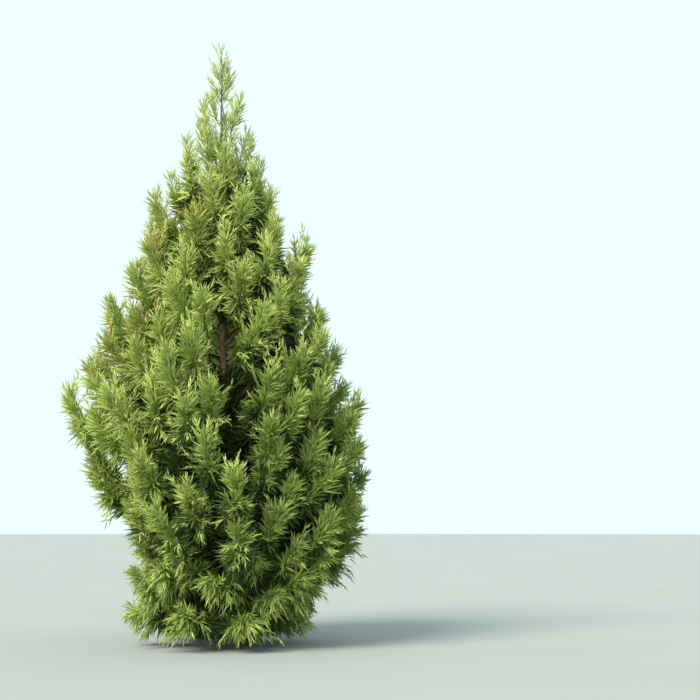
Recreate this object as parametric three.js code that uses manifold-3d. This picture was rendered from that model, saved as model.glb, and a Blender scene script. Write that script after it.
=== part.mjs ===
// A young Japanese cedar, rooted in level ground: one leaning trunk with its root flare, tapering
// boughs in a golden-angle spiral, and the plumes of foliage that they carry. Millimetres, +Z up,
// with the origin at the middle of the trunk's flat foot. The side that is looked at faces -Y.

import * as THREE from "three";
import { mergeVertices } from "three/addons/utils/BufferGeometryUtils.js";
import Module from "manifold-3d";

const wasm = await Module();
wasm.setup();

const { lerp, smoothstep, clamp, degToRad } = THREE.MathUtils;

// The whole tree
const TREE_HEIGHT = 7050;
const SEED = 9.3;
const GOLDEN_ANGLE = Math.PI * (3 - Math.sqrt(5));
const SEAT_GAP = 0.35;
const KNEE_GAP = 0.6;

// The trunk: it leans towards -X at the foot and straightens as it rises
const TRUNK_HEIGHT = 6350;
const TRUNK_RADIUS = 86;
const TRUNK_LEAN = -430;
const LEAN_HEIGHT = 1800;
const TRUNK_BOW = 45;
const FLARE_RADIUS = 46;
const FLARE_HEIGHT = 170;
const FLARE_LOBES = 5;
const LOBE_DEPTH = 0.42;
const TRUNK_SIDES = 10;
const TRUNK_RINGS = 17;

// The crown's outline: a rounded skirt up to the widest height, then a straight cone
const CROWN_RADIUS = 1560;
const WIDEST_SHARE = 0.39;
const SKIRT_SHARE = 0.66;

// Places where the crown stands out or falls back: azimuth in degrees, height, and share of reach
const BULGES = [
  { azimuth: 182, height: 3000, share: 0.27, spread: 28, rise: 400 },
  { azimuth: 184, height: 4050, share: 0.3, spread: 26, rise: 380 },
  { azimuth: 178, height: 5150, share: 0.24, spread: 40, rise: 420 },
  { azimuth: 190, height: 1480, share: -0.28, spread: 44, rise: 430 },
  { azimuth: 186, height: 330, share: 0.16, spread: 50, rise: 300 },
  { azimuth: 0, height: 4600, share: 0.13, spread: 40, rise: 300 },
  { azimuth: -8, height: 440, share: -0.44, spread: 50, rise: 430 },
];

// Where the front of the crown parts and the trunk shows
const PARTING_AZIMUTH = degToRad(-84);
const PARTING_HEIGHT = 3350;
const PARTING_RISE = 420;
const PARTING_PUSH = degToRad(13);
const PARTING_SPREAD = degToRad(34);

// Plumes: upright tufts of leafy shoots that end the twigs and tile the crown's surface
const LOWEST_TIP = 270;
const HIGHEST_TIP = 6860;
const PLUME_SPACING = 503;
const SPIRE_SPACING = 310;
const LEAST_RING = 90;
const PLUME_LENGTH = 640;
const SPIRE_PLUME_LENGTH = 430;
const PLUME_SLENDERNESS = 0.42;
const SPIRE_SLENDERNESS = 0.27;
const SPIRE_FROM = 4300;
const SMALL_PLUMES_FROM = 3700;
const PLUME_CORE_SHARE = 0.28;
const PLUME_COLUMNS = 6;
const PLUME_STATIONS = [
  { share: 0.1, core: 0.85, reach: 0.94, forward: 0.17 },
  { share: 0.29, core: 1.0, reach: 1.0, forward: 0.2 },
  { share: 0.49, core: 0.85, reach: 0.74, forward: 0.2 },
  { share: 0.69, core: 0.58, reach: 0.36, forward: 0.15 },
];
const SMALL_STATIONS = [
  { share: 0.12, core: 0.9, reach: 0.94, forward: 0.2 },
  { share: 0.36, core: 1.0, reach: 0.84, forward: 0.22 },
  { share: 0.62, core: 0.7, reach: 0.42, forward: 0.17 },
];
const APEX_LENGTH = 520;
const APEX_SPREAD = 80;
const SPRAY_TRIES = [1, 0.82, 0.66, 0.52];
const PLUME_GAP = 12;
const LIMB_GAP = 22;
const GROUND_GAP = 35;

// Boughs, the stems that go on from them, and twigs
const LOWEST_MASS_TIP = 560;
const BOUGH_MASS_LIMIT = 4750;
const HIGHEST_MASS_TIP = 6150;
const MASS_SPACING = 1245;
const UPPER_MASS_SPACING = 760;
const FIRST_AZIMUTH = degToRad(-52);
const HUB_SHARE = 0.66;
const KNEE_SHARE = 0.5;
const BOUGH_ROOT_RADIUS = 21;
const BOUGH_TIP_RADIUS = 12;
const STEM_TIP_RADIUS = 8;
const TWIG_RADIUS = 7;
const TWIG_TIP_RADIUS = 5;
const BOUGH_SIDES = 5;
const BOUGH_STEPS = 3;
const STEM_SIDES = 4;
const STEM_STEPS = 2;
const TWIG_CLEARANCE = 8;
const STEMS_TRIED = 3;

// The dense tuft in the middle of each lower mass, that its stem ends in
const TUFT_FROM = 0.64;
const TUFT_TO = 1.3;
const TUFT_SPREAD = 400;
const TUFT_CORE_SHARE = 0.42;
const TUFT_TRIES = [1, 0.85, 0.7, 0.55, 0.4];
const TUFT_GAP = 45;

// Finishes
const BARK_COLOR = 0x6b5442;
const BARK_ROUGHNESS = 0.95;
const SHADED_FOLIAGE = 0x4d6a2a;
const SUNLIT_FOLIAGE = 0x8a9c42;
const FOLIAGE_ROUGHNESS = 0.75;

/** A repeatable number from 0 to 1 for the nth thing of a kind. */
function chance(n, kind) {
  const turned = Math.sin(n * 12.9898 + kind * 78.233 + SEED) * 43758.5453;
  return turned - Math.floor(turned);
}

/** A repeatable number from -1 to 1. */
function swing(n, kind) {
  return 2 * chance(n, kind) - 1;
}

/** The level direction at an azimuth, raised by an elevation. */
function direction(azimuth, elevation = 0) {
  const level = Math.cos(elevation);
  return new THREE.Vector3(
    level * Math.cos(azimuth),
    level * Math.sin(azimuth),
    Math.sin(elevation),
  );
}

/** How far apart two azimuths are, from -PI to PI. */
function turnBetween(a, b) {
  return Math.atan2(Math.sin(a - b), Math.cos(a - b));
}

/** The trunk's centre at a height: the lean dies away upwards, over one slow bow. */
function trunkCentre(height) {
  return new THREE.Vector3(
    TRUNK_LEAN * (1 - Math.exp(-height / LEAN_HEIGHT)),
    TRUNK_BOW * Math.sin((Math.PI * height) / TREE_HEIGHT),
    height,
  );
}

/** The trunk's radius at a height, before the root flare. */
function trunkRadius(height) {
  return TRUNK_RADIUS * (1 - height / TREE_HEIGHT);
}

/** How far out the crown reaches at a height, before its bulges. */
function crownRadius(height) {
  const share = height / TREE_HEIGHT;
  if (share > WIDEST_SHARE) return (CROWN_RADIUS * (1 - share)) / (1 - WIDEST_SHARE);
  const skirt = Math.sin((Math.PI / 2) * (share / WIDEST_SHARE));
  return CROWN_RADIUS * (SKIRT_SHARE + (1 - SKIRT_SHARE) * skirt);
}

/** How far out the crown reaches at an azimuth and height, bulges included. */
function reach(azimuth, height) {
  let share = 1;
  for (const bulge of BULGES) {
    const turn = turnBetween(azimuth, degToRad(bulge.azimuth)) / degToRad(bulge.spread);
    const climb = (height - bulge.height) / bulge.rise;
    share += bulge.share * Math.exp(-turn * turn - climb * climb);
  }
  return crownRadius(height) * share;
}

/** How steeply plumes stand at a height: nearly level at the skirt, upright in the spire. */
function plumeElevation(height) {
  const low = lerp(14, 58, smoothstep(height, 250, 2000));
  return degToRad(lerp(low, 80, smoothstep(height, 3200, 6600)));
}

/** How steeply the limbs leave the trunk at a height. */
function limbElevation(height) {
  return degToRad(lerp(4, 56, smoothstep(height, 0, 6200)));
}

/** Moves an azimuth away from the parting at the front. */
function parted(azimuth, height) {
  const turn = turnBetween(azimuth, PARTING_AZIMUTH);
  const climb = (height - PARTING_HEIGHT) / PARTING_RISE;
  const fade = Math.exp(-climb * climb - (turn / PARTING_SPREAD) ** 2);
  return azimuth + Math.sign(turn) * PARTING_PUSH * fade;
}

/**
 * Calls place(i, azimuth, height) up a golden-angle spiral, so that each place has an equal share of
 * the crown's surface at the spacing for its height.
 */
function spiral(lowest, highest, firstAzimuth, spacingAt, place) {
  let height = lowest;
  for (let i = 0; height < highest; i++) {
    place(i, firstAzimuth + i * GOLDEN_ANGLE, height);
    const ring = 2 * Math.PI * Math.max(crownRadius(height), LEAST_RING);
    height += spacingAt(height) ** 2 / ring;
  }
}

/** The plumes: where each has its tip on the crown's surface, and the curve that it follows. */
function growPlumes() {
  const plumes = [];
  const spacingAt = (height) =>
    lerp(PLUME_SPACING, SPIRE_SPACING, smoothstep(height, SPIRE_FROM, TREE_HEIGHT));
  spiral(LOWEST_TIP, HIGHEST_TIP, 0, spacingAt, (i, place, height) => {
    const spire = smoothstep(height, SPIRE_FROM, TREE_HEIGHT);
    const azimuth = parted(place + 0.16 * swing(i, 1), height);
    const tipHeight = height + 40 * swing(i, 2);
    const out = reach(azimuth, tipHeight) * (1 + 0.07 * swing(i, 3));
    const tip = trunkCentre(tipHeight).addScaledVector(direction(azimuth), out);
    const length = lerp(PLUME_LENGTH, SPIRE_PLUME_LENGTH, spire) * (1 + 0.16 * swing(i, 4));
    const heading = azimuth + 0.35 * swing(i, 5);
    const elevation = plumeElevation(tipHeight) + 0.16 * swing(i, 6);
    const bend = tip.clone().addScaledVector(direction(heading, elevation + 0.18), -length / 2);
    const root = bend.clone().addScaledVector(direction(heading, elevation - 0.35), -length / 2);
    plumes.push({
      index: i,
      length,
      spread: length * lerp(PLUME_SLENDERNESS, SPIRE_SLENDERNESS, spire),
      stations: height > SMALL_PLUMES_FROM ? SMALL_STATIONS : PLUME_STATIONS,
      axis: new THREE.QuadraticBezierCurve3(root, bend, tip),
    });
  });
  const apex = trunkCentre(TREE_HEIGHT);
  const apexFoot = trunkCentre(TREE_HEIGHT - APEX_LENGTH);
  plumes.push({
    index: plumes.length,
    length: APEX_LENGTH,
    spread: APEX_SPREAD,
    stations: SMALL_STATIONS,
    axis: new THREE.QuadraticBezierCurve3(apexFoot, apexFoot.clone().lerp(apex, 0.5), apex),
    isApex: true,
  });
  return plumes;
}

/** The main limbs: each curve runs from the trunk's centre to the hub of one mass of foliage. */
function growLimbs() {
  const limbs = [];
  const spacingAt = (height) => (height < BOUGH_MASS_LIMIT ? MASS_SPACING : UPPER_MASS_SPACING);
  spiral(LOWEST_MASS_TIP, HIGHEST_MASS_TIP, FIRST_AZIMUTH, spacingAt, (i, place, height) => {
    const azimuth = parted(place, height);
    const out = reach(azimuth, height) * HUB_SHARE;
    const hubHeight = height - 0.62 * PLUME_LENGTH * Math.sin(plumeElevation(height));
    const rise = out * Math.tan(limbElevation(hubHeight));
    const hub = trunkCentre(hubHeight).addScaledVector(direction(azimuth), out);
    const foot = trunkCentre(Math.max(hubHeight - rise, 130));
    const bend = foot.clone().addScaledVector(direction(azimuth), out * 0.55);
    bend.z += (hub.z - foot.z) * 0.36;
    limbs.push({
      curve: new THREE.QuadraticBezierCurve3(foot, bend, hub),
      onBough: height < BOUGH_MASS_LIMIT,
      plumes: [],
    });
  });
  const leaderFoot = trunkCentre(TRUNK_HEIGHT + SEAT_GAP);
  const leaderTip = trunkCentre(TREE_HEIGHT - 0.6 * APEX_LENGTH);
  limbs.push({
    curve: new THREE.QuadraticBezierCurve3(
      leaderFoot,
      leaderFoot.clone().lerp(leaderTip, 0.5),
      leaderTip,
    ),
    isLeader: true,
    plumes: [],
  });
  return limbs;
}

/** Points along a curve, close enough to measure distances by. */
function samples(curve, count = 5) {
  return curve.getPoints(count);
}

/** How far a point is from a chain of points. */
function distanceTo(point, chain) {
  const nearest = new THREE.Vector3();
  let least = Infinity;
  for (let k = 1; k < chain.length; k++) {
    new THREE.Line3(chain[k - 1], chain[k]).closestPointToPoint(point, true, nearest);
    least = Math.min(least, nearest.distanceTo(point));
  }
  return least;
}

/** The curve of the twig that leaves a limb's stem and turns into the foot of a plume. */
function twigCurve(limb, plume) {
  const foot = plume.axis.getPoint(0);
  let nearestShare = 0;
  let least = Infinity;
  for (let k = 0; k <= 20; k++) {
    const share = lerp(limb.stemFrom, 1, k / 20);
    const away = limb.curve.getPoint(share).distanceTo(foot);
    if (away < least) {
      least = away;
      nearestShare = share;
    }
  }
  const stemLength = limb.curve.getLength() * (1 - limb.stemFrom);
  const back = ((0.45 * least) / stemLength) * (1 - limb.stemFrom);
  const lowest = lerp(limb.stemFrom, 1, 0.12);
  const start = limb.curve.getPoint(clamp(nearestShare - back, lowest, 0.97));
  const bend = foot.clone().addScaledVector(plume.axis.getTangent(0), -0.42 * least);
  return new THREE.QuadraticBezierCurve3(start, bend, foot);
}

/** A geometry as a closed solid, turned the right way out. */
function solidOf(geometry) {
  const bare = geometry.clone();
  bare.deleteAttribute("normal");
  bare.deleteAttribute("uv");
  const merged = mergeVertices(bare, 1e-3);
  const corners = merged.index.array;
  const kept = [];
  for (let i = 0; i < corners.length; i += 3) {
    const [a, b, c] = corners.slice(i, i + 3);
    if (a !== b && b !== c && c !== a) kept.push(a, b, c);
  }
  const build = (triVerts) =>
    new wasm.Manifold(
      new wasm.Mesh({ numProp: 3, vertProperties: merged.attributes.position.array, triVerts }),
    );
  const made = build(new Uint32Array(kept));
  return made.volume() > 0 ? made : build(new Uint32Array(kept.reverse()));
}

/**
 * Wraps a lathed shape round a path: heights in the shape become places on the path, as pathAt()
 * gives them. Each row of the shape is turned the least that keeps it square to the path.
 */
function wrapAlong(geometry, profile, pathAt) {
  const frames = [];
  for (const { y } of profile) {
    const { tangent } = pathAt(y);
    const last = frames.at(-1);
    const side = last
      ? last.side
          .clone()
          .applyQuaternion(new THREE.Quaternion().setFromUnitVectors(last.tangent, tangent))
      : new THREE.Vector3(-tangent.y, tangent.x, 1e-3).cross(tangent).cross(tangent).normalize();
    frames.push({ tangent, side, up: new THREE.Vector3().crossVectors(tangent, side) });
  }
  const position = geometry.attributes.position;
  for (let k = 0; k < position.count; k++) {
    const { side, up } = frames[k % profile.length];
    const { point } = pathAt(position.getY(k));
    point.addScaledVector(side, position.getX(k)).addScaledVector(up, position.getZ(k));
    position.setXYZ(k, point.x, point.y, point.z);
  }
  return geometry;
}

/** The place and direction of a curve at a share of it. */
function onCurve(curve, share) {
  return { point: curve.getPoint(share), tangent: curve.getTangent(share) };
}

/** A tapering limb with flat ends along part of a curve. */
function limbSolid(curve, from, to, startRadius, endRadius, sides, steps) {
  const profile = [new THREE.Vector2(0, from)];
  for (let k = 0; k <= steps; k++) {
    const part = k / steps;
    profile.push(new THREE.Vector2(lerp(startRadius, endRadius, part), lerp(from, to, part)));
  }
  profile.push(new THREE.Vector2(0, to));
  const geometry = new THREE.LatheGeometry(profile, sides);
  return solidOf(wrapAlong(geometry, profile, (share) => onCurve(curve, share)));
}

/** A main bough, from the trunk's centre to its knee. */
function boughSolid(curve) {
  const [root, tip] = [BOUGH_ROOT_RADIUS, BOUGH_TIP_RADIUS];
  return limbSolid(curve, 0, KNEE_SHARE, root, tip, BOUGH_SIDES, BOUGH_STEPS);
}

/** The trunk, or with a clearance the slightly fatter form that cuts what meets it. */
function trunkSolid(clearance = 0) {
  const top = TRUNK_HEIGHT + clearance;
  const heightAt = (k) => top * (k / TRUNK_RINGS) ** 1.35;
  const profile = [new THREE.Vector2(0, 0)];
  for (let k = 0; k <= TRUNK_RINGS; k++) {
    profile.push(new THREE.Vector2(trunkRadius(heightAt(k)) + clearance, heightAt(k)));
  }
  profile.push(new THREE.Vector2(0, top));
  const geometry = new THREE.LatheGeometry(profile, TRUNK_SIDES);
  const position = geometry.attributes.position;
  for (let k = 0; k < position.count; k++) {
    const height = position.getY(k);
    const angle = Math.atan2(position.getZ(k), position.getX(k));
    const radius = Math.hypot(position.getX(k), position.getZ(k));
    const lobe = 1 + LOBE_DEPTH * Math.cos(FLARE_LOBES * angle + 0.6);
    const flare = radius > 0 ? FLARE_RADIUS * lobe * Math.exp(-height / FLARE_HEIGHT) : 0;
    const point = trunkCentre(height).addScaledVector(direction(angle), radius + flare);
    position.setXYZ(k, point.x, point.y, point.z);
  }
  return solidOf(geometry);
}

/**
 * Turns the diagonals of a lathed spindle's faces so that none joins two of the corners that are
 * to be drawn out, and each of those becomes a point of its own.
 */
function partSprays(spindle, rows, firstRow) {
  const corners = spindle.index.array;
  for (let face = 0; face < corners.length; face += 6) {
    const [foot, next, above, beyond] = corners.slice(face, face + 4);
    const column = Math.floor(foot / rows);
    const row = (foot % rows) - firstRow;
    if ((column + row) % 2) corners.set([foot, next, beyond, foot, beyond, above], face);
  }
}

/** Draws a twig's six columns together in pairs, which leaves it three sides. */
function pairColumns(spindle, rows, firstRow) {
  const position = spindle.attributes.position;
  for (let k = 0; k < position.count; k++) {
    const column = Math.floor(k / rows);
    if (k % rows >= firstRow || column % 2 === 0) continue;
    position.setXYZ(k, position.getX(k - rows), position.getY(k - rows), position.getZ(k - rows));
  }
}

/**
 * One plume and its twig: a slim spindle on a thin three-sided stalk. Alternate corners of each
 * ring of the spindle are drawn out and forward into sprays. A spray that would leave the plume's
 * own space is shortened, or left as a corner of the spindle.
 */
function plumeSolid(plume, hasRoom) {
  const { axis, twig, stations, coreShare = PLUME_CORE_SHARE } = plume;
  const stalk = [new THREE.Vector2(0, twig ? -1 : 0)];
  if (twig) {
    stalk.push(new THREE.Vector2(TWIG_RADIUS, -1));
    if (stations.length > 3) stalk.push(new THREE.Vector2(TWIG_RADIUS, -0.5));
    stalk.push(new THREE.Vector2(TWIG_TIP_RADIUS, 0));
  }
  const rings = stations.map(
    ({ share, core }) => new THREE.Vector2(plume.spread * coreShare * core, share),
  );
  const profile = [...stalk, ...rings, new THREE.Vector2(0, 1)];
  const rows = profile.length;
  const startAngle = 2 * Math.PI * chance(plume.index, 7);
  const spindle = new THREE.LatheGeometry(profile, PLUME_COLUMNS, startAngle);
  partSprays(spindle, rows, stalk.length);
  pairColumns(spindle, rows, stalk.length);
  const drawn = spindle.clone();
  const position = drawn.attributes.position;
  for (let column = 0; column <= PLUME_COLUMNS; column++) {
    stations.forEach(({ share, reach: reachShare, forward }, row) => {
      if ((column + row) % 2) return;
      const k = column * rows + stalk.length + row;
      const n = plume.index * 31 + (column % PLUME_COLUMNS) * 5 + row;
      const grow = (plume.spread * reachShare * (1 + 0.18 * swing(n, 8))) / rings[row].x;
      position.setX(k, position.getX(k) * grow);
      position.setZ(k, position.getZ(k) * grow);
      position.setY(k, share + forward * (1 + 0.3 * swing(n, 9)));
    });
  }
  const pathAt = (share) => (share < 0 ? onCurve(twig, 1 + share) : onCurve(axis, share));
  wrapAlong(spindle, profile, pathAt);
  wrapAlong(drawn, profile, pathAt);
  const inner = spindle.attributes.position;
  for (let k = 0; k < position.count; k++) {
    const root = new THREE.Vector3().fromBufferAttribute(inner, k);
    const point = new THREE.Vector3().fromBufferAttribute(position, k);
    if (root.distanceTo(point) < 1) continue;
    const fits = (share) =>
      [0.5, 0.75, 1].every((part) => hasRoom(root.clone().lerp(point, part * share)));
    root.lerp(point, SPRAY_TRIES.find(fits) ?? 0);
    position.setXYZ(k, root.x, root.y, root.z);
  }
  return solidOf(drawn);
}

/** The dense tuft that a limb's stem ends in, as full as the mass's own space lets it be. */
function tuftSolid(limb, index, hasRoom) {
  const foot = limb.curve.getPoint(TUFT_FROM);
  const middle = limb.curve.getPoint((TUFT_FROM + 1) / 2);
  const axis = new THREE.QuadraticBezierCurve3(foot, middle, limb.curve.getPoint(TUFT_TO));
  const chain = samples(axis);
  const tuftOf = (share) => ({
    index: 1000 + index,
    axis,
    spread: TUFT_SPREAD * share,
    stations: SMALL_STATIONS,
    coreShare: TUFT_CORE_SHARE,
  });
  const clear = (share) => {
    const radius = TUFT_SPREAD * TUFT_CORE_SHARE * share;
    return chain.every((point) =>
      [0, 1, 2, 3, 4, 5].every((side) =>
        hasRoom(point.clone().addScaledVector(direction((side * Math.PI) / 3, 0.3), radius)),
      ),
    );
  };
  const share = TUFT_TRIES.find(clear);
  return share ? plumeSolid(tuftOf(share), hasRoom) : undefined;
}

/** The largest body of a solid, with any loose scrap dropped. */
function wholeBody(solid) {
  const bodies = solid.simplify(0.5).decompose();
  return bodies.reduce((a, b) => (a.volume() > b.volume() ? a : b));
}

/** The finish of the bark. */
function bark() {
  return new THREE.MeshStandardMaterial({ color: BARK_COLOR, roughness: BARK_ROUGHNESS });
}

/** The finish of one mass of foliage: its green varies from mass to mass. */
function foliage(index) {
  const color = new THREE.Color(SHADED_FOLIAGE).lerp(
    new THREE.Color(SUNLIT_FOLIAGE),
    chance(index, 10),
  );
  return new THREE.MeshStandardMaterial({ color, roughness: FOLIAGE_ROUGHNESS });
}

/** A named mesh of a solid. */
function meshOf(name, solid, material) {
  const { vertProperties, triVerts, numProp } = solid.getMesh();
  const geometry = new THREE.BufferGeometry();
  const interleaved = new THREE.InterleavedBuffer(vertProperties, numProp);
  geometry.setAttribute("position", new THREE.InterleavedBufferAttribute(interleaved, 3, 0));
  geometry.setIndex(new THREE.BufferAttribute(triVerts, 1));
  const mesh = new THREE.Mesh(geometry.toNonIndexed(), material);
  mesh.geometry.computeVertexNormals();
  mesh.name = name;
  return mesh;
}

const plumes = growPlumes();
const limbs = growLimbs();

// Each limb's stem starts at its knee, where a lower limb's bough ends
for (const limb of limbs) {
  limb.stemFrom = limb.onBough ? KNEE_SHARE : 0;
  limb.radius = limb.isLeader ? trunkRadius(TRUNK_HEIGHT) : BOUGH_ROOT_RADIUS;
  limb.chain = samples(limb.curve, 8);
  limb.boughChain = limb.chain.slice(0, 1 + Math.round(8 * limb.stemFrom));
}

const trunkChain = Array.from({ length: 25 }, (_, k) => trunkCentre((TRUNK_HEIGHT * k) / 24));

/** Whether two chains of points come nearer than a distance. */
function meet(chain, other, distance) {
  return chain.some((point) => distanceTo(point, other) < distance);
}

/** Whether a chain of points comes nearer to the trunk's bark than a distance. */
function meetTrunk(chain, distance) {
  return chain.some(
    (point) => distanceTo(point, trunkChain) < distance + trunkRadius(Math.max(point.z, 0)),
  );
}

/** Whether a plume, reached from a limb by a twig, would run into another mass, limb or twig. */
function collides(plume, limb, twigChain) {
  const core = plume.spread * PLUME_CORE_SHARE + TWIG_CLEARANCE;
  const thin = TWIG_RADIUS + TWIG_CLEARANCE;
  const offStem = twigChain.slice(1);
  if (!plume.isApex && meetTrunk(plume.chain, core)) return true;
  if (limb.onBough && meetTrunk(offStem, thin)) return true;
  return limbs.some((other) => {
    if (other === limb) return false;
    if (meet(plume.chain, other.chain, core + other.radius)) return true;
    if (meet(offStem, other.chain, thin + other.radius)) return true;
    return other.plumes.some(
      (p) =>
        meet(plume.chain, p.chain, core + p.spread * PLUME_CORE_SHARE) ||
        meet(plume.chain, p.twigChain, core + TWIG_RADIUS) ||
        meet(twigChain, p.chain, thin + p.spread * PLUME_CORE_SHARE) ||
        meet(twigChain, p.twigChain, thin + TWIG_RADIUS),
    );
  });
}

// Each plume grows from the nearest stem that a twig can reach it from; without one it is left out
for (const plume of plumes) {
  plume.chain = samples(plume.axis);
  const foot = plume.chain[0];
  const away = (limb) => limb.curve.getPoint(limb.isLeader ? 0.4 : 1).distanceTo(foot);
  const nearest = [...limbs].sort((a, b) => away(a) - away(b)).slice(0, STEMS_TRIED);
  const limb = nearest.find((stem) => !collides(plume, stem, samples(twigCurve(stem, plume))));
  if (!limb) continue;
  const twig = twigCurve(limb, plume);
  plume.twig = plume.isApex ? undefined : twig;
  plume.twigChain = samples(twig);
  limb.plumes.push(plume);
}
const grown = limbs.flatMap((limb) => limb.plumes);

/** Whether a point lies above the ground and clear of every limb and twig but a limb's own. */
function clearOfLimbs(point, own) {
  if (point.z < GROUND_GAP) return false;
  if (meetTrunk([point], LIMB_GAP)) return false;
  return limbs.every(
    (limb) =>
      distanceTo(point, limb.chain) > limb.radius + (limb === own ? 0 : LIMB_GAP) &&
      (limb === own ||
        limb.plumes.every((p) => distanceTo(point, p.twigChain) > TWIG_RADIUS + LIMB_GAP)),
  );
}

/** Whether a point lies in a plume's own space: nearer to its axis than to any other plume's. */
function inPlumeSpace(point, plume) {
  const own = distanceTo(point, plume.chain) + PLUME_GAP;
  return grown.every((p) => p === plume || distanceTo(point, p.chain) > own);
}

/** Whether a point is nearer to one limb's plumes and twigs than to any other limb's. */
function inMassSpace(point, own) {
  const away = (limb) =>
    Math.min(...limb.plumes.flatMap((p) => [p.chain, p.twigChain]).map((c) => distanceTo(point, c)));
  const mine = away(own) + TUFT_GAP;
  return limbs.every((limb) => limb === own || !limb.plumes.length || away(limb) > mine);
}

/** The foliage that one limb carries, fused into a single solid. */
function massSolid(limb, index, trunkCutter) {
  const stemStart = limb.onBough
    ? KNEE_SHARE + KNEE_GAP / limb.curve.getLength()
    : limb.stemFrom;
  const stemRadius = limb.isLeader ? trunkRadius(TRUNK_HEIGHT) : BOUGH_TIP_RADIUS;
  const parts = [
    limbSolid(limb.curve, stemStart, 1, stemRadius, STEM_TIP_RADIUS, STEM_SIDES, STEM_STEPS),
  ];
  if (limb.onBough) {
    const hasRoom = (point) =>
      clearOfLimbs(point, limb) &&
      inMassSpace(point, limb) &&
      distanceTo(point, limb.boughChain) > TUFT_GAP;
    const tuft = tuftSolid(limb, index, hasRoom);
    if (tuft) parts.push(tuft);
  }
  for (const plume of limb.plumes) {
    parts.push(
      plumeSolid(plume, (point) => clearOfLimbs(point, limb) && inPlumeSpace(point, plume)),
    );
  }
  const fused = wasm.Manifold.union(parts);
  return wholeBody(limb.onBough || limb.isLeader ? fused : fused.subtract(trunkCutter));
}

const tree = new THREE.Group();
tree.add(meshOf("trunk", trunkSolid(), bark()));
const trunkCutter = trunkSolid(SEAT_GAP);

let boughs = 0;
let upperMasses = 0;
limbs.forEach((limb, index) => {
  const mass = massSolid(limb, index, trunkCutter);
  if (limb.isLeader) {
    tree.add(meshOf("leader_foliage", mass, foliage(index)));
  } else if (limb.onBough) {
    boughs += 1;
    const number = String(boughs).padStart(2, "0");
    const bough = boughSolid(limb.curve).subtract(trunkCutter);
    tree.add(meshOf(`bough_${number}`, wholeBody(bough), bark()));
    tree.add(meshOf(`foliage_${number}`, mass, foliage(index)));
  } else {
    upperMasses += 1;
    const number = String(upperMasses).padStart(2, "0");
    tree.add(meshOf(`upper_foliage_${number}`, mass, foliage(index)));
  }
});

export default tree;
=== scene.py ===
"""A young Japanese cedar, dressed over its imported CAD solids.

The growth rule of the part's source is written again here and carried on from its limbs and plumes
to branchlets, leafy shoots and needles. Sizes are in metres, +Z is up, the origin is the middle of
the trunk's flat foot, and the side that is looked at faces -Y.
"""

import logging
import math
from dataclasses import dataclass, field
from enum import Enum
from typing import Any, Callable

import bpy
import numpy as np
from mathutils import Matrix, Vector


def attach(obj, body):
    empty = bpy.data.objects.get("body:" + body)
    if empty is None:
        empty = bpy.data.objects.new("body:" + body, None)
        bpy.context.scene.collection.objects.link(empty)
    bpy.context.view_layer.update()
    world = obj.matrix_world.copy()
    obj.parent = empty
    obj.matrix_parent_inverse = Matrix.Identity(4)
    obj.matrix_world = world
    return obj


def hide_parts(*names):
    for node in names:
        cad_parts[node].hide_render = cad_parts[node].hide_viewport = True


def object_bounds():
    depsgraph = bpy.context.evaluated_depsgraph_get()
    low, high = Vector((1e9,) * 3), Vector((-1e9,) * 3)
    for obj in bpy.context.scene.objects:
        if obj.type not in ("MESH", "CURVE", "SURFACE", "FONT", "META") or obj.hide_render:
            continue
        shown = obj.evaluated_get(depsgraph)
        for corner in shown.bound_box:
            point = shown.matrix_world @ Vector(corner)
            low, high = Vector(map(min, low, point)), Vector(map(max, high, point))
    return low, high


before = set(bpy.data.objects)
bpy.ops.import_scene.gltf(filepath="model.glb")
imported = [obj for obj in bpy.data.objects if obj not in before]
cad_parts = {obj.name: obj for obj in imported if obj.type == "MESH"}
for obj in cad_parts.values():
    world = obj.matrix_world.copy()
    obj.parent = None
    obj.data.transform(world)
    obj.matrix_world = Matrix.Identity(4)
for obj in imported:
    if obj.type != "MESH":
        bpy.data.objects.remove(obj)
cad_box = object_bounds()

Array = np.ndarray
Number = float | Array
Span = tuple[float, float]
# A place on the crown: its number, azimuth and height
Place = tuple[int, float, float]
# Points, and the point numbers of each triangle
Surface = tuple[Array, Array]

LOG = logging.getLogger("cedar")
BODY = "root"
SEED = 9.3
GOLDEN_ANGLE = math.pi * (3.0 - math.sqrt(5.0))
UP = np.array([0.0, 0.0, 1.0])
# Where a bough becomes the stem of its mass, as a share of the limb, and its radius there
KNEE_SHARE = 0.5
KNEE_RADIUS = 0.012
# How many straight steps limbs, and plumes and twigs, are measured by
LIMB_STEPS = 8
AXIS_STEPS = 5


def chance(n: int, kind: int) -> float:
    """A repeatable number from 0 to 1 for the nth thing of a kind, as the part's source has it."""
    turned = math.sin(n * 12.9898 + kind * 78.233 + SEED) * 43758.5453
    return turned - math.floor(turned)


def swing(n: int, kind: int) -> float:
    """A repeatable number from -1 to 1."""
    return 2.0 * chance(n, kind) - 1.0


def mix(low: Number, high: Number, share: Number) -> Number:
    """The value that lies a share of the way from low to high."""
    return low + (high - low) * share


def smooth_step(value: Number, low: float, high: float) -> Number:
    """0 below low, 1 above high, and the S-curve p * p * (3 - 2 * p) between them."""
    part = np.clip((value - low) / (high - low), 0.0, 1.0)
    return part * part * (3.0 - 2.0 * part)


def direction(azimuth: Number, elevation: Number = 0.0) -> Array:
    """Unit vectors (cos e * cos a, cos e * sin a, sin e) at an azimuth a and an elevation e.

    Args:
        azimuth: The angles round +Z from +X, in radians.
        elevation: The angles above the level, in radians.

    Returns:
        The vectors, as an array of (..., 3).
    """
    level = np.cos(elevation)
    parts = (level * np.cos(azimuth), level * np.sin(azimuth), np.sin(elevation))
    return np.stack(np.broadcast_arrays(*parts), axis=-1)


def turn_between(first: Number, second: float) -> Number:
    """How far apart two azimuths are, from -pi to pi."""
    return np.arctan2(np.sin(first - second), np.cos(first - second))


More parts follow.
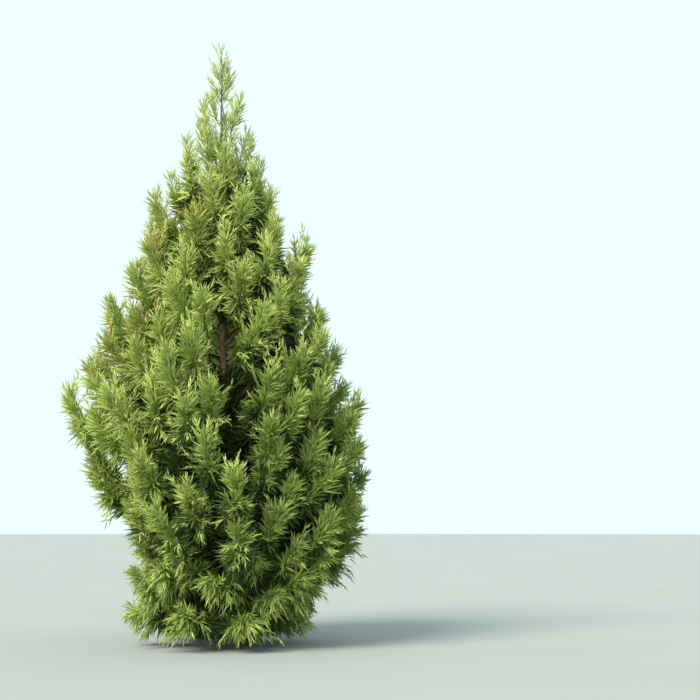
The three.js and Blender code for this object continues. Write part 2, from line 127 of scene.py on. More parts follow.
def unit(vectors: Array) -> Array:
    """The vectors, each drawn to a length of 1."""
    return vectors / np.maximum(np.linalg.norm(vectors, axis=-1, keepdims=True), 1e-12)


def square_frame(along: Array) -> tuple[Array, Array]:
    """Two unit vectors square to each given one and to each other.

    The first is the cross product of the vector with whichever of X and Z it leans on less.

    Args:
        along: Unit vectors, as an array of (..., 3).

    Returns:
        The side vectors and the vectors square to both, in the same shape.
    """
    leans = np.abs(along[..., 2:3]) > 0.8
    helper = np.where(leans, np.array([1.0, 0.0, 0.0]), UP)
    side = unit(np.cross(helper, along))
    return side, np.cross(along, side)


def leaning(along: Array, around: Array, angle: Array) -> Array:
    """Directions that lean out of a line: along * cos(angle) + out * sin(angle).

    The vector out is square to the line, and turns round it by the angles around.

    Args:
        along: The line's unit vectors, as an array of (..., 3).
        around: Which side each direction lies on, in radians.
        angle: How far each one leans, in radians.

    Returns:
        The directions, in the shape of along.
    """
    side, over = square_frame(along)
    out = side * np.cos(around)[..., None] + over * np.sin(around)[..., None]
    return along * np.cos(angle)[..., None] + out * np.sin(angle)[..., None]


def distances(points: Array, segments: Array) -> Array:
    """The distance from each point to each straight segment.

    A point's foot on a segment is its projection, held between the segment's two ends.

    Args:
        points: An array of (points, 3).
        segments: An array of (segments, 2, 3).

    Returns:
        An array of (points, segments).
    """
    start = segments[None, :, 0]
    span = segments[None, :, 1] - start
    offset = points[:, None] - start
    share = (offset * span).sum(-1) / np.maximum((span * span).sum(-1), 1e-12)
    foot = np.clip(share, 0.0, 1.0)[..., None] * span
    return np.linalg.norm(offset - foot, axis=-1)


def segments_of(chain: Array) -> Array:
    """The straight segments of a chain of points, as an array of (segments, 2, 3)."""
    return np.stack((chain[:-1], chain[1:]), axis=1)


@dataclass(frozen=True)
class Bend:
    """A quadratic Bezier curve that leaves its root towards the bend and ends at its tip."""

    root: Array
    bend: Array
    tip: Array

    def points(self, shares: Number) -> Array:
        """The points (1-t)^2 root + 2t(1-t) bend + t^2 tip at the given shares t."""
        t = np.asarray(shares, float)[..., None]
        return (1 - t) ** 2 * self.root + 2 * t * (1 - t) * self.bend + t * t * self.tip

    def headings(self, shares: Number) -> Array:
        """The unit tangents, (1-t)(bend - root) + t(tip - bend), at the given shares."""
        t = np.asarray(shares, float)[..., None]
        return unit((1 - t) * (self.bend - self.root) + t * (self.tip - self.bend))

    def chain(self, steps: int) -> Array:
        """Evenly spaced points along the curve, one more than its steps."""
        return self.points(np.linspace(0.0, 1.0, steps + 1))

    def length(self, steps: int = 200) -> float:
        """The curve's length, as the sum of short steps along it."""
        return float(np.linalg.norm(np.diff(self.chain(steps), axis=0), axis=1).sum())


@dataclass(frozen=True)
class TrunkForm:
    """The trunk's line and girth: it leans at the foot and straightens as it rises."""

    tree_height: float = 7.05
    height: float = 6.35
    girth: float = 0.086
    lean: float = -0.43
    lean_height: float = 1.8
    bow: float = 0.045
    flare: float = 0.046
    flare_height: float = 0.17
    flare_lobes: int = 5
    lobe_depth: float = 0.42
    lobe_turn: float = 0.6

    def centre(self, height: Number) -> Array:
        """The centre line: a lean that dies away upwards, and one slow bow over the whole height.

        The lean is lean * (1 - exp(-height / lean_height)), and the bow is half a sine wave.

        Args:
            height: Heights above the ground.

        Returns:
            The points, as an array of (..., 3).
        """
        height = np.asarray(height, float)
        across = self.lean * (1.0 - np.exp(-height / self.lean_height))
        back = self.bow * np.sin(np.pi * height / self.tree_height)
        return np.stack((across, back, height), axis=-1)

    def offset(self, points: Array) -> Array:
        """The level way from the centre line to each point."""
        return points - self.centre(points[..., 2])

    def radius(self, height: Number) -> Number:
        """The radius at a height, before the root flare: a straight taper to the tree's tip."""
        return self.girth * (1.0 - height / self.tree_height)

    def root_flare(self, angle: Array, height: Array) -> Array:
        """How far the root flare stands out: lobes round the foot that die away with height."""
        lobes = 1.0 + self.lobe_depth * np.cos(self.flare_lobes * angle + self.lobe_turn)
        return self.flare * lobes * np.exp(-height / self.flare_height)


@dataclass(frozen=True)
class Bulge:
    """A place where the crown stands out or falls back: degrees, metres, and a share of its reach."""

    azimuth: float
    height: float
    share: float
    spread: float
    rise: float

    def at(self, azimuth: Number, height: Number) -> Number:
        """The bulge's share at an azimuth and height: a bell curve of the turn and the climb to it.

        Args:
            azimuth: Azimuths, in radians.
            height: Heights above the ground.

        Returns:
            share * exp(-turn^2 - climb^2), with both measured in the bulge's own spread and rise.
        """
        turn = turn_between(azimuth, math.radians(self.azimuth)) / math.radians(self.spread)
        climb = (height - self.height) / self.rise
        return self.share * np.exp(-turn * turn - climb * climb)


@dataclass(frozen=True)
class CrownForm:
    """The crown's outline: a rounded skirt up to the widest height, then a straight cone."""

    trunk: TrunkForm
    girth: float = 1.56
    widest_share: float = 0.39
    skirt_share: float = 0.66
    least_ring: float = 0.09
    bulges: tuple[Bulge, ...] = (
        Bulge(182, 3.0, 0.27, 28, 0.4),
        Bulge(184, 4.05, 0.3, 26, 0.38),
        Bulge(178, 5.15, 0.24, 40, 0.42),
        Bulge(190, 1.48, -0.28, 44, 0.43),
        Bulge(186, 0.33, 0.16, 50, 0.3),
        Bulge(0, 4.6, 0.13, 40, 0.3),
        Bulge(-8, 0.44, -0.44, 50, 0.43),
    )
    parting_azimuth: float = math.radians(-84)
    parting_height: float = 3.35
    parting_rise: float = 0.42
    parting_push: float = math.radians(13)
    parting_spread: float = math.radians(34)

    def radius(self, height: Number) -> Number:
        """How far out the crown reaches at a height, before its bulges.

        Below the widest height it is a quarter of a sine wave, and above it a straight cone.

        Args:
            height: Heights above the ground.

        Returns:
            The radii.
        """
        share = height / self.trunk.tree_height
        skirt = np.sin(np.pi / 2 * share / self.widest_share)
        low = self.girth * mix(self.skirt_share, 1.0, skirt)
        high = self.girth * (1.0 - share) / (1.0 - self.widest_share)
        return np.where(share > self.widest_share, high, low)

    def reach(self, azimuth: Number, height: Number) -> Number:
        """How far out the crown reaches at an azimuth and height, with a bell curve for each bulge."""
        return self.radius(height) * (1.0 + sum(bulge.at(azimuth, height) for bulge in self.bulges))

    def parted(self, azimuth: float, height: float) -> float:
        """An azimuth, moved away from the parting at the front.

        The push fades as a bell curve of the turn and the climb away from the parting.

        Args:
            azimuth: The azimuth, in radians.
            height: The height above the ground.

        Returns:
            The azimuth that it is moved to.
        """
        turn = float(turn_between(azimuth, self.parting_azimuth))
        climb = (height - self.parting_height) / self.parting_rise
        fade = math.exp(-climb * climb - (turn / self.parting_spread) ** 2)
        return azimuth + math.copysign(self.parting_push * fade, turn)

    def spiral(
        self, lowest: float, highest: float, first: float, spacing: Callable[[float], float]
    ) -> list[Place]:
        """Places up a golden-angle spiral that each have an equal share of the crown's surface.

        Each step rises by the spacing's square over the length of the ring at that height.

        Args:
            lowest: The first height.
            highest: The height that the spiral stops below.
            first: The first azimuth, in radians.
            spacing: A function that gives the spacing of places at a height.

        Returns:
            The places, from the lowest up.
        """
        places, height = [], lowest
        while height < highest:
            places.append((len(places), first + len(places) * GOLDEN_ANGLE, height))
            ring = 2 * math.pi * max(float(self.radius(height)), self.least_ring)
            height += spacing(height) ** 2 / ring
        return places


@dataclass
class Plume:
    """A tuft of leafy shoots round the end of a twig, with its tip on the crown's surface."""

    index: int
    length: float
    spread: float
    spire: float
    axis: Bend
    is_apex: bool = False
    twig: Bend | None = None


@dataclass
class Limb:
    """A limb, from the trunk's centre to the hub of one mass, and the plumes that it carries."""

    curve: Bend
    radius: float
    stem_from: float
    on_bough: bool = False
    is_leader: bool = False
    leader_hub: float = 0.4
    name: str = ""
    plumes: list[Plume] = field(default_factory=list)

    def hub(self) -> Array:
        """Where the mass's twigs are measured from: the limb's end, or a place on the leader."""
        return self.curve.points(self.leader_hub if self.is_leader else 1.0)


class Obstacles:
    """Limbs, plumes or twigs as straight segments, each with its thickness and the limb that owns it."""

    def __init__(self) -> None:
        """Starts with none."""
        self.segments = np.zeros((0, 2, 3))
        self.thickness = np.zeros(0)
        self.owner = np.zeros(0, int)

    def add(self, chain: Array, thickness: float, owner: int) -> None:
        """Adds the segments of one chain of points.

        Args:
            chain: The points, as an array of (points, 3).
            thickness: How far it reaches from its line.
            owner: The number of the limb that it belongs to.
        """
        added = segments_of(chain)
        self.segments = np.concatenate((self.segments, added))
        self.thickness = np.append(self.thickness, np.full(len(added), thickness))
        self.owner = np.append(self.owner, np.full(len(added), owner))

    def met_by(self, points: Array, clearance: float, owner: int) -> bool:
        """Whether any point comes nearer to another owner's segments than the clearance.

        Args:
            points: The points, as an array of (points, 3).
            clearance: How far they have to stay from the obstacles' surfaces.
            owner: The number of the limb whose own segments don't count.

        Returns:
            True where one comes too near.
        """
        others = self.owner != owner
        away = distances(points, self.segments[others]) - self.thickness[others]
        return bool((away < clearance).any())


@dataclass
class Skeleton:
    """The limbs and plumes of the tree, grown by the part's own seeded rule."""

    crown: CrownForm
    lowest_tip: float = 0.27
    highest_tip: float = 6.86
    plume_spacing: float = 0.503
    spire_spacing: float = 0.31
    plume_length: float = 0.64
    spire_plume_length: float = 0.43
    slenderness: float = 0.42
    spire_slenderness: float = 0.27
    spire_from: float = 4.3
    core_share: float = 0.28
    apex_length: float = 0.52
    apex_spread: float = 0.08
    lowest_mass_tip: float = 0.56
    bough_mass_limit: float = 4.75
    highest_mass_tip: float = 6.15
    mass_spacing: float = 1.245
    upper_mass_spacing: float = 0.76
    first_azimuth: float = math.radians(-52)
    hub_share: float = 0.66
    bough_radius: float = 0.021
    twig_radius: float = 0.007
    twig_clearance: float = 0.008
    seat_gap: float = 0.00035
    stems_tried: int = 3
    trunk_samples: int = 25
    stem_samples: int = 21
    # How steeply plumes stand, in degrees, and the heights between which they steepen
    skirt_steepness: float = 14.0
    body_steepness: float = 58.0
    spire_steepness: float = 80.0
    body_heights: Span = (0.25, 2.0)
    spire_heights: Span = (3.2, 6.6)
    # How steeply limbs leave the trunk, in degrees, and the same
    limb_steepness: Span = (4.0, 56.0)
    limb_heights: Span = (0.0, 6.2)
    # The play in where a plume stands and how it leans: radians, metres, and shares of its size
    azimuth_play: float = 0.16
    height_play: float = 0.04
    reach_play: float = 0.07
    length_play: float = 0.16
    heading_play: float = 0.35
    elevation_play: float = 0.16
    tip_rise: float = 0.18
    foot_dip: float = 0.35
    # A limb's hub hangs below its mass's tip, and its bend lies part of the way out and up
    hub_drop: float = 0.62
    lowest_foot: float = 0.13
    bend_out: float = 0.55
    bend_rise: float = 0.36
    leader_share: float = 0.6
    # A twig leaves its stem behind the nearest point, by shares of its way and of the stem
    twig_back: float = 0.45
    twig_bend: float = 0.42
    first_twig: float = 0.12
    last_twig: float = 0.97

    def plume_elevation(self, height: float) -> float:
        """How steeply plumes stand: nearly level at the skirt, upright in the spire."""
        low = mix(self.skirt_steepness, self.body_steepness, smooth_step(height, *self.body_heights))
        return math.radians(mix(low, self.spire_steepness, smooth_step(height, *self.spire_heights)))

    def limb_elevation(self, height: float) -> float:
        """How steeply the limbs leave the trunk."""
        return math.radians(mix(*self.limb_steepness, smooth_step(height, *self.limb_heights)))

    def spire_share(self, height: float) -> float:
        """0 in the body of the crown, rising to 1 at the top of its spire."""
        return float(smooth_step(height, self.spire_from, self.crown.trunk.tree_height))

    def plume(self, i: int, place: float, height: float) -> Plume:
        """The plume at one place of the spiral, with its tip on the crown's outline.

        Args:
            i: The place's number, which its chances come from.
            place: The place's azimuth, in radians.
            height: The place's height.

        Returns:
            The plume, without its twig.
        """
        spire = self.spire_share(height)
        azimuth = self.crown.parted(place + self.azimuth_play * swing(i, 1), height)
        tip_height = height + self.height_play * swing(i, 2)
        out = self.crown.reach(azimuth, tip_height) * (1 + self.reach_play * swing(i, 3))
        tip = self.crown.trunk.centre(tip_height) + direction(azimuth) * out
        length = mix(self.plume_length, self.spire_plume_length, spire)
        length *= 1 + self.length_play * swing(i, 4)
        heading = azimuth + self.heading_play * swing(i, 5)
        elevation = self.plume_elevation(tip_height) + self.elevation_play * swing(i, 6)
        bend = tip - direction(heading, elevation + self.tip_rise) * length / 2
        root = bend - direction(heading, elevation - self.foot_dip) * length / 2
        spread = length * mix(self.slenderness, self.spire_slenderness, spire)
        return Plume(i, length, spread, spire, Bend(root, bend, tip))

    def plume_spacing_at(self, height: float) -> float:
        """How far apart plumes stand at a height."""
        return mix(self.plume_spacing, self.spire_spacing, self.spire_share(height))

    def mass_spacing_at(self, height: float) -> float:
        """How far apart the tips of the masses stand at a height."""
        return self.mass_spacing if height < self.bough_mass_limit else self.upper_mass_spacing

    def plumes(self) -> list[Plume]:
        """All plumes up the crown's spiral, and the apex on the trunk's own line.

        Returns:
            The plumes, from the lowest up.
        """
        spiral = self.crown.spiral(self.lowest_tip, self.highest_tip, 0.0, self.plume_spacing_at)
        grown = [self.plume(*place) for place in spiral]
        trunk = self.crown.trunk
        tip = trunk.centre(trunk.tree_height)
        foot = trunk.centre(trunk.tree_height - self.apex_length)
        axis = Bend(foot, (foot + tip) / 2, tip)
        grown.append(Plume(len(grown), self.apex_length, self.apex_spread, 1.0, axis, True))
        return grown

    def limb(self, place: float, height: float) -> Limb:
        """The limb whose mass has its tip at one place of the spiral.

        Args:
            place: The place's azimuth, in radians.
            height: The place's height.

        Returns:
            The limb, without its plumes.
        """
        trunk = self.crown.trunk
        azimuth = self.crown.parted(place, height)
        out = self.crown.reach(azimuth, height) * self.hub_share
        drop = self.hub_drop * self.plume_length * math.sin(self.plume_elevation(height))
        hub_height = height - drop
        rise = out * math.tan(self.limb_elevation(hub_height))
        hub = trunk.centre(hub_height) + direction(azimuth) * out
        foot = trunk.centre(max(hub_height - rise, self.lowest_foot))
        bend = foot + direction(azimuth) * out * self.bend_out
        bend[2] += (hub[2] - foot[2]) * self.bend_rise
        on_bough = height < self.bough_mass_limit
        stem_from = KNEE_SHARE if on_bough else 0.0
        return Limb(Bend(foot, bend, hub), self.bough_radius, stem_from, on_bough)

    def limbs(self) -> list[Limb]:
        """All limbs in the order of the part's nodes, named after the mass that each one carries.

        Returns:
            The limbs, from the lowest up, with the leader on the trunk's tip as the last.
        """
        spiral = self.crown.spiral(
            self.lowest_mass_tip, self.highest_mass_tip, self.first_azimuth, self.mass_spacing_at
        )
        grown = [self.limb(place, height) for _, place, height in spiral]
        trunk = self.crown.trunk
        foot = trunk.centre(trunk.height + self.seat_gap)
        tip = trunk.centre(trunk.tree_height - self.leader_share * self.apex_length)
        leader = Bend(foot, (foot + tip) / 2, tip)
        grown.append(Limb(leader, float(trunk.radius(trunk.height)), 0.0, is_leader=True))
        boughs = sum(limb.on_bough for limb in grown)
        for number, limb in enumerate(grown, start=1):
            upper_name = f"upper_foliage_{number - boughs:02d}"
            limb.name = f"foliage_{number:02d}" if limb.on_bough else upper_name
        grown[-1].name = "leader_foliage"
        return grown

    def twig(self, limb: Limb, plume: Plume) -> Bend:
        """The twig that leaves a limb's stem behind the point nearest to the plume's foot.

        Args:
            limb: The limb.
            plume: The plume that the twig turns into.

        Returns:
            The twig's curve.
        """
        foot = plume.axis.root
        shares = np.linspace(limb.stem_from, 1.0, self.stem_samples)
        away = np.linalg.norm(limb.curve.points(shares) - foot, axis=1)
        nearest = int(away.argmin())
        least = float(away[nearest])
        back = self.twig_back * least / limb.curve.length()
        lowest = mix(limb.stem_from, 1.0, self.first_twig)
        start = limb.curve.points(min(max(shares[nearest] - back, lowest), self.last_twig))
        bend = foot - plume.axis.headings(0.0) * self.twig_bend * least
        return Bend(start, bend, foot)

    def meets_trunk(self, points: Array, clearance: float) -> bool:
        """Whether any point comes nearer to the trunk's bark than the clearance.

        Args:
            points: The points, as an array of (points, 3).
            clearance: How far they have to stay from the bark.

        Returns:
            True where one comes too near.
        """
        trunk = self.crown.trunk
        line = segments_of(trunk.centre(np.linspace(0.0, trunk.height, self.trunk_samples)))
        away = distances(points, line).min(axis=1)
        return bool((away < clearance + trunk.radius(np.maximum(points[:, 2], 0.0))).any())

    def grow(self) -> list[Limb]:
        """Grows limbs and plumes, and joins each plume to the nearest stem that a twig can reach.

        A stem is passed over where the plume or its twig would run into the trunk, or into another
        limb, plume or twig. A plume that the nearest few stems can't take is left out.

        Returns:
            The limbs, each with the plumes that it carries.
        """
        limbs = self.limbs()
        stems, foliage = Obstacles(), Obstacles()
        for owner, limb in enumerate(limbs):
            stems.add(limb.curve.chain(LIMB_STEPS), limb.radius, owner)
        hubs = np.array([limb.hub() for limb in limbs])
        thin = self.twig_radius + self.twig_clearance
        for plume in self.plumes():
            chain = plume.axis.chain(AXIS_STEPS)
            core = plume.spread * self.core_share
            wide = core + self.twig_clearance
            if not plume.is_apex and self.meets_trunk(chain, wide):
                continue
            nearest = np.argsort(np.linalg.norm(hubs - chain[0], axis=1), kind="stable")
            for owner in nearest[: self.stems_tried]:
                twig = self.twig(limbs[owner], plume)
                twig_chain = twig.chain(AXIS_STEPS)
                blocked = (
                    (limbs[owner].on_bough and self.meets_trunk(twig_chain[1:], thin))
                    or stems.met_by(chain, wide, owner)
                    or stems.met_by(twig_chain[1:], thin, owner)
                    or foliage.met_by(chain, wide, owner)
                    or foliage.met_by(twig_chain, thin, owner)
                )
                if blocked:
                    continue
                foliage.add(chain, core, owner)
                foliage.add(twig_chain, self.twig_radius, owner)
                plume.twig = None if plume.is_apex else twig
                limbs[owner].plumes.append(plume)
                break
        return limbs


# A Mix node's sockets for colours, by number, because their names occur more than once
MIX_SHARE = 0
MIX_FIRST = 6
MIX_SECOND = 7
MIX_RESULT = 2


def linear_rgb(colour: str) -> tuple[float, float, float, float]:
    """An sRGB hex colour as the linear colour that a shader takes.

    A part c from 0 to 1 becomes c / 12.92 in the darks, and ((c + 0.055) / 1.055)^2.4 above them.

    Args:
        colour: The colour, such as "#8aa03e".

    Returns:
        Red, green and blue, and an alpha of 1.
    """
    parts = [int(colour[k : k + 2], 16) / 255 for k in (1, 3, 5)]
    linear = [c / 12.92 if c <= 0.04045 else ((c + 0.055) / 1.055) ** 2.4 for c in parts]
    return (*linear, 1.0)


def add_node(
    tree: bpy.types.NodeTree,
    kind: str,
    values: dict[str | int, Any] | None = None,
    links: dict[str | int, bpy.types.NodeSocket] | None = None,
    **settings: Any,
) -> bpy.types.Node:
    """Adds one node to a shader.

    Args:
        tree: The node tree that it goes in.
        kind: The node's type, such as "ShaderNodeTexNoise".
        values: What its input sockets are set to, by name or number.
        links: The output sockets that feed its inputs, by the input's name or number.
        settings: Its other properties.

    Returns:
        The new node.
    """
    node = tree.nodes.new(kind)
    for name, value in settings.items():
        setattr(node, name, value)
    for socket, value in (values or {}).items():
        node.inputs[socket].default_value = value
    for socket, source in (links or {}).items():
        tree.links.new(source, node.inputs[socket])
    return node


def new_material(name: str) -> tuple[bpy.types.Material, bpy.types.NodeTree]:
    """An empty node material.

    Args:
        name: The material's name.

    Returns:
        The material and its node tree.
    """
    material = bpy.data.materials.new(name)
    material.use_nodes = True
    material.node_tree.nodes.clear()
    return material, material.node_tree


class SprayTone(Enum):
    """The plain colours that sprays are dealt, from painted deep shade inside to painted light and this
    year's tips.
    """

    # The first two stand for painted deep shade in the shut-in inside. The next five run from painted
    # shade to painted sunlight, and the lightest is also this year's tips. Bronze and russet are the
    # needles' own colours.
    INNER_DEEP = "#34451e"
    INNER = "#4b5e2c"
    SHADE = "#788b42"
    MIDDLE = "#8fa150"
    MATURE = "#9bac59"
    SUNLIT = "#a1b05b"
    FRESH = "#a2b05c"
    BRONZE = "#9f8c47"
    RUSSET = "#705f3a"

    @property
    def slot(self) -> int:
        """The material slot of this tone on every piece with sprays."""
        return list(SprayTone).index(self)

    @property
    def is_dusty(self) -> bool:
        """Whether it takes the lower sheen: the tones of painted shade inside the crown, and dead
        russet.
        """
        return self in (SprayTone.INNER_DEEP, SprayTone.INNER, SprayTone.SHADE, SprayTone.RUSSET)


@dataclass(frozen=True)
class NeedleFinish:
    """Living cedar needles: awls with a skin of grown wax, half matt, with less sheen on the tones of
    painted shade inside the crown and on russet.
    """

    # The eye sees a broken, satin gloss, strongest where sprays face upwards. The real grain of wax
    # and pores is under 0.1 mm, and it is drawn at 3 mm, as fine as a close view can show.
    tone: SprayTone
    roughness: Span = (0.46, 0.7)
    sheen: float = 0.3
    low_sheen: float = 0.15
    grain_mm: float = 3.0
    grain_detail: float = 2.0
    bump_mm: float = 0.15
    bump_strength: float = 0.5
    ior: float = 1.45

    def build(self) -> bpy.types.Material:
        """A plain base colour, with a waxy grain in roughness and bump.

        Returns:
            The material.
        """
        material, tree = new_material(f"cedar_needles_{self.tone.name.lower()}")
        place = add_node(tree, "ShaderNodeTexCoord").outputs["Object"]
        grain = add_node(
            tree,
            "ShaderNodeTexNoise",
            {"Scale": 1000 / self.grain_mm, "Detail": self.grain_detail},
            {"Vector": place},
        )
        low, high = self.roughness
        rough = add_node(
            tree,
            "ShaderNodeMapRange",
            {"To Min": low, "To Max": high},
            {"Value": grain.outputs["Fac"]},
        )
        bump = add_node(
            tree,
            "ShaderNodeBump",
            {"Strength": self.bump_strength, "Distance": self.bump_mm / 1000},
            {"Height": grain.outputs["Fac"]},
        )
        # The base colour is the spray's tone: on most tones it holds painted shade and painted light
        shader = add_node(
            tree,
            "ShaderNodeBsdfPrincipled",
            {
                "Base Color": linear_rgb(self.tone.value),
                "IOR": self.ior,
                "Specular IOR Level": self.low_sheen if self.tone.is_dusty else self.sheen,
            },
            {"Roughness": rough.outputs["Result"], "Normal": bump.outputs["Normal"]},
        )
        add_node(tree, "ShaderNodeOutputMaterial", links={"Surface": shader.outputs["BSDF"]})
        return material


@dataclass(frozen=True)
class BarkFinish:
    """Cedar bark: soft fibres that peel in long upright strips and weather to grey on their ridges."""

    # The eye sees a dull, stringy red-brown with dark furrows and worn grey patches, and no gloss.
    # Real fibres are 1 to 3 mm wide, and those of the trunk are drawn at 9 mm so that they show.
    name: str
    furrow: str
    strip: str
    weathered: str
    fibre_mm: float = 9.0
    fibre_stretch: float = 14.0
    fibre_detail: float = 6.0
    fibre_roughness: float = 0.62
    furrow_at: float = 0.34
    strip_at: float = 0.58
    patch_mm: float = 90.0
    patch_detail: float = 3.0
    worn_range: Span = (0.42, 0.66)
    most_worn: float = 0.75
    bump_mm: float = 1.6
    bump_strength: float = 0.9
    young: str = "#5d5e38"
    young_heights: Span = (4.2, 6.0)
    most_young: float = 0.85
    roughness: Span = (0.82, 0.98)
    sheen: float = 0.25

    def build(self) -> bpy.types.Material:
        """Long fibres from noise that is stretched upwards, under broad weathered patches.

        Towards the top of the tree the colour turns to that of young, greenish bark.

        Returns:
            The material.
        """
        material, tree = new_material(self.name)
        place = add_node(tree, "ShaderNodeTexCoord").outputs["Object"]
        upright = add_node(
            tree,
            "ShaderNodeMapping",
            {"Scale": (1.0, 1.0, 1.0 / self.fibre_stretch)},
            {"Vector": place},
        ).outputs["Vector"]
        fibre = add_node(
            tree,
            "ShaderNodeTexNoise",
            {
                "Scale": 1000 / self.fibre_mm,
                "Detail": self.fibre_detail,
                "Roughness": self.fibre_roughness,
            },
            {"Vector": upright},
        ).outputs["Fac"]
        patch = add_node(
            tree,
            "ShaderNodeTexNoise",
            {"Scale": 1000 / self.patch_mm, "Detail": self.patch_detail},
            {"Vector": place},
        ).outputs["Fac"]
        ramp = add_node(tree, "ShaderNodeValToRGB", links={"Fac": fibre})
        dark, light = ramp.color_ramp.elements
        dark.position, dark.color = self.furrow_at, linear_rgb(self.furrow)
        light.position, light.color = self.strip_at, linear_rgb(self.strip)
        least, most = self.worn_range
        worn = add_node(
            tree,
            "ShaderNodeMapRange",
            {"From Min": least, "From Max": most, "To Max": self.most_worn},
            {"Value": patch},
        ).outputs["Result"]
        colour = add_node(
            tree,
            "ShaderNodeMix",
            {MIX_SECOND: linear_rgb(self.weathered)},
            {MIX_SHARE: worn, MIX_FIRST: ramp.outputs["Color"]},
            data_type="RGBA",
        ).outputs[MIX_RESULT]
        height = add_node(tree, "ShaderNodeSeparateXYZ", links={"Vector": place}).outputs["Z"]
        lowest, highest = self.young_heights
        youth = add_node(
            tree,
            "ShaderNodeMapRange",
            {"From Min": lowest, "From Max": highest, "To Max": self.most_young},
            {"Value": height},
        ).outputs["Result"]
        colour = add_node(
            tree,
            "ShaderNodeMix",
            {MIX_SECOND: linear_rgb(self.young)},
            {MIX_SHARE: youth, MIX_FIRST: colour},
            data_type="RGBA",
        ).outputs[MIX_RESULT]
        low, high = self.roughness
        rough = add_node(
            tree,
            "ShaderNodeMapRange",
            {"To Min": low, "To Max": high},
            {"Value": patch},
        ).outputs["Result"]
        bump = add_node(
            tree,
            "ShaderNodeBump",
            {"Strength": self.bump_strength, "Distance": self.bump_mm / 1000},
            {"Height": fibre},
        ).outputs["Normal"]
        shader = add_node(
            tree,
            "ShaderNodeBsdfPrincipled",
            {"Specular IOR Level": self.sheen},
            {"Base Color": colour, "Roughness": rough, "Normal": bump},
        )
        add_node(tree, "ShaderNodeOutputMaterial", links={"Surface": shader.outputs["BSDF"]})
        return material


@dataclass(frozen=True)
class FloorFinish:
    """A pale studio floor in rolled matt paint."""

    # The eye sees an even pale grey without gloss, and the faintest cloud of tone in it.
    paint: str = "#949997"
    cloud: str = "#8e9492"
    cloud_m: float = 2.5
    roughness: float = 0.9
    sheen: float = 0.1

    def build(self) -> bpy.types.Material:
        """Matt paint in two near tones.

        Returns:
            The material.
        """
        material, tree = new_material("studio_floor_paint")
        place = add_node(tree, "ShaderNodeTexCoord").outputs["Object"]
        cloud = add_node(
            tree, "ShaderNodeTexNoise", {"Scale": 1 / self.cloud_m}, {"Vector": place}
        )
        colour = add_node(
            tree,
            "ShaderNodeMix",
            {MIX_FIRST: linear_rgb(self.paint), MIX_SECOND: linear_rgb(self.cloud)},
            {MIX_SHARE: cloud.outputs["Fac"]},
            data_type="RGBA",
        )
        shader = add_node(
            tree,
            "ShaderNodeBsdfPrincipled",
            {"Roughness": self.roughness, "Specular IOR Level": self.sheen},
            {"Base Color": colour.outputs[MIX_RESULT]},
        )
        add_node(tree, "ShaderNodeOutputMaterial", links={"Surface": shader.outputs["BSDF"]})
        return material


def make_piece(
    name: str,
    points: Array,
    triangles: Array,
    materials: list[bpy.types.Material],
    slots: Array | None = None,
    smooth: bool = False,
) -> bpy.types.Object:
    """Puts a mesh of triangles into the scene.

    Args:
        name: The piece's name.
        points: An array of (points, 3).
        triangles: The three point numbers of each triangle, seen anticlockwise from outside.
        materials: The piece's material slots.
        slots: Each triangle's slot, or None where all use the first.
        smooth: Whether the faces shade as one smooth surface.

    Returns:
        The new object, at the origin.
    """
    mesh = bpy.data.meshes.new(name)
    mesh.vertices.add(len(points))
    mesh.vertices.foreach_set("co", np.ascontiguousarray(points, np.float32).ravel())
    mesh.loops.add(triangles.size)
    mesh.loops.foreach_set("vertex_index", np.ascontiguousarray(triangles, np.int32).ravel())
    mesh.polygons.add(len(triangles))
    starts = np.arange(0, triangles.size, 3, dtype=np.int32)
    mesh.polygons.foreach_set("loop_start", starts)
    for material in materials:
        mesh.materials.append(material)
    if slots is not None:
        mesh.polygons.foreach_set("material_index", slots.astype(np.int32))
    mesh.update(calc_edges=True)
    mesh.validate()
    if smooth:
        mesh.shade_smooth()
    else:
        mesh.shade_flat()
    piece = bpy.data.objects.new(name, mesh)
    bpy.context.scene.collection.objects.link(piece)
    return piece


def finish_piece(piece: bpy.types.Object, slot: str, *nodes: str) -> None:
    """Lets a piece ride on the tree and stand for CAD nodes, whose parts it hides.

    Args:
        piece: The piece.
        slot: The record's material slot. Not used.
        nodes: The CAD nodes that it stands for.
    """
    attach(piece, BODY)
    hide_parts(*nodes)
    LOG.info("%s: %d triangles", piece.name, len(piece.data.polygons))


def join_surfaces(surfaces: list[Surface]) -> Surface:
    """Several surfaces as one.

    Args:
        surfaces: The surfaces, in the order in which their points and triangles follow.

    Returns:
        The joined surface, with each surface's point numbers moved on past those before it.
    """
    starts = np.cumsum([0] + [len(points) for points, _ in surfaces[:-1]])
    points = np.concatenate([points for points, _ in surfaces])
    triangles = np.concatenate([faces + start for (_, faces), start in zip(surfaces, starts)])
    return points, triangles


def tube_faces(rows: int, sides: int) -> Array:
    """The triangles of a tube of rings, with both ends closed by fans.

    Args:
        rows: How many rings it has.
        sides: How many points each ring has.

    Returns:
        The point numbers, counted ring after ring from the foot, as an array of (triangles, 3).
    """
    row, column = np.meshgrid(np.arange(rows - 1), np.arange(sides), indexing="ij")
    here = (row * sides + column).ravel()
    beside = (row * sides + (column + 1) % sides).ravel()
    fan = np.arange(1, sides - 1)
    hub = np.zeros_like(fan)
    last = (rows - 1) * sides
    return np.concatenate(
        (
            np.stack((here, beside, beside + sides), axis=1),
            np.stack((here, beside + sides, here + sides), axis=1),
            np.stack((hub, fan + 1, fan), axis=1),
            np.stack((hub, fan, fan + 1), axis=1) + last,
        )
    )


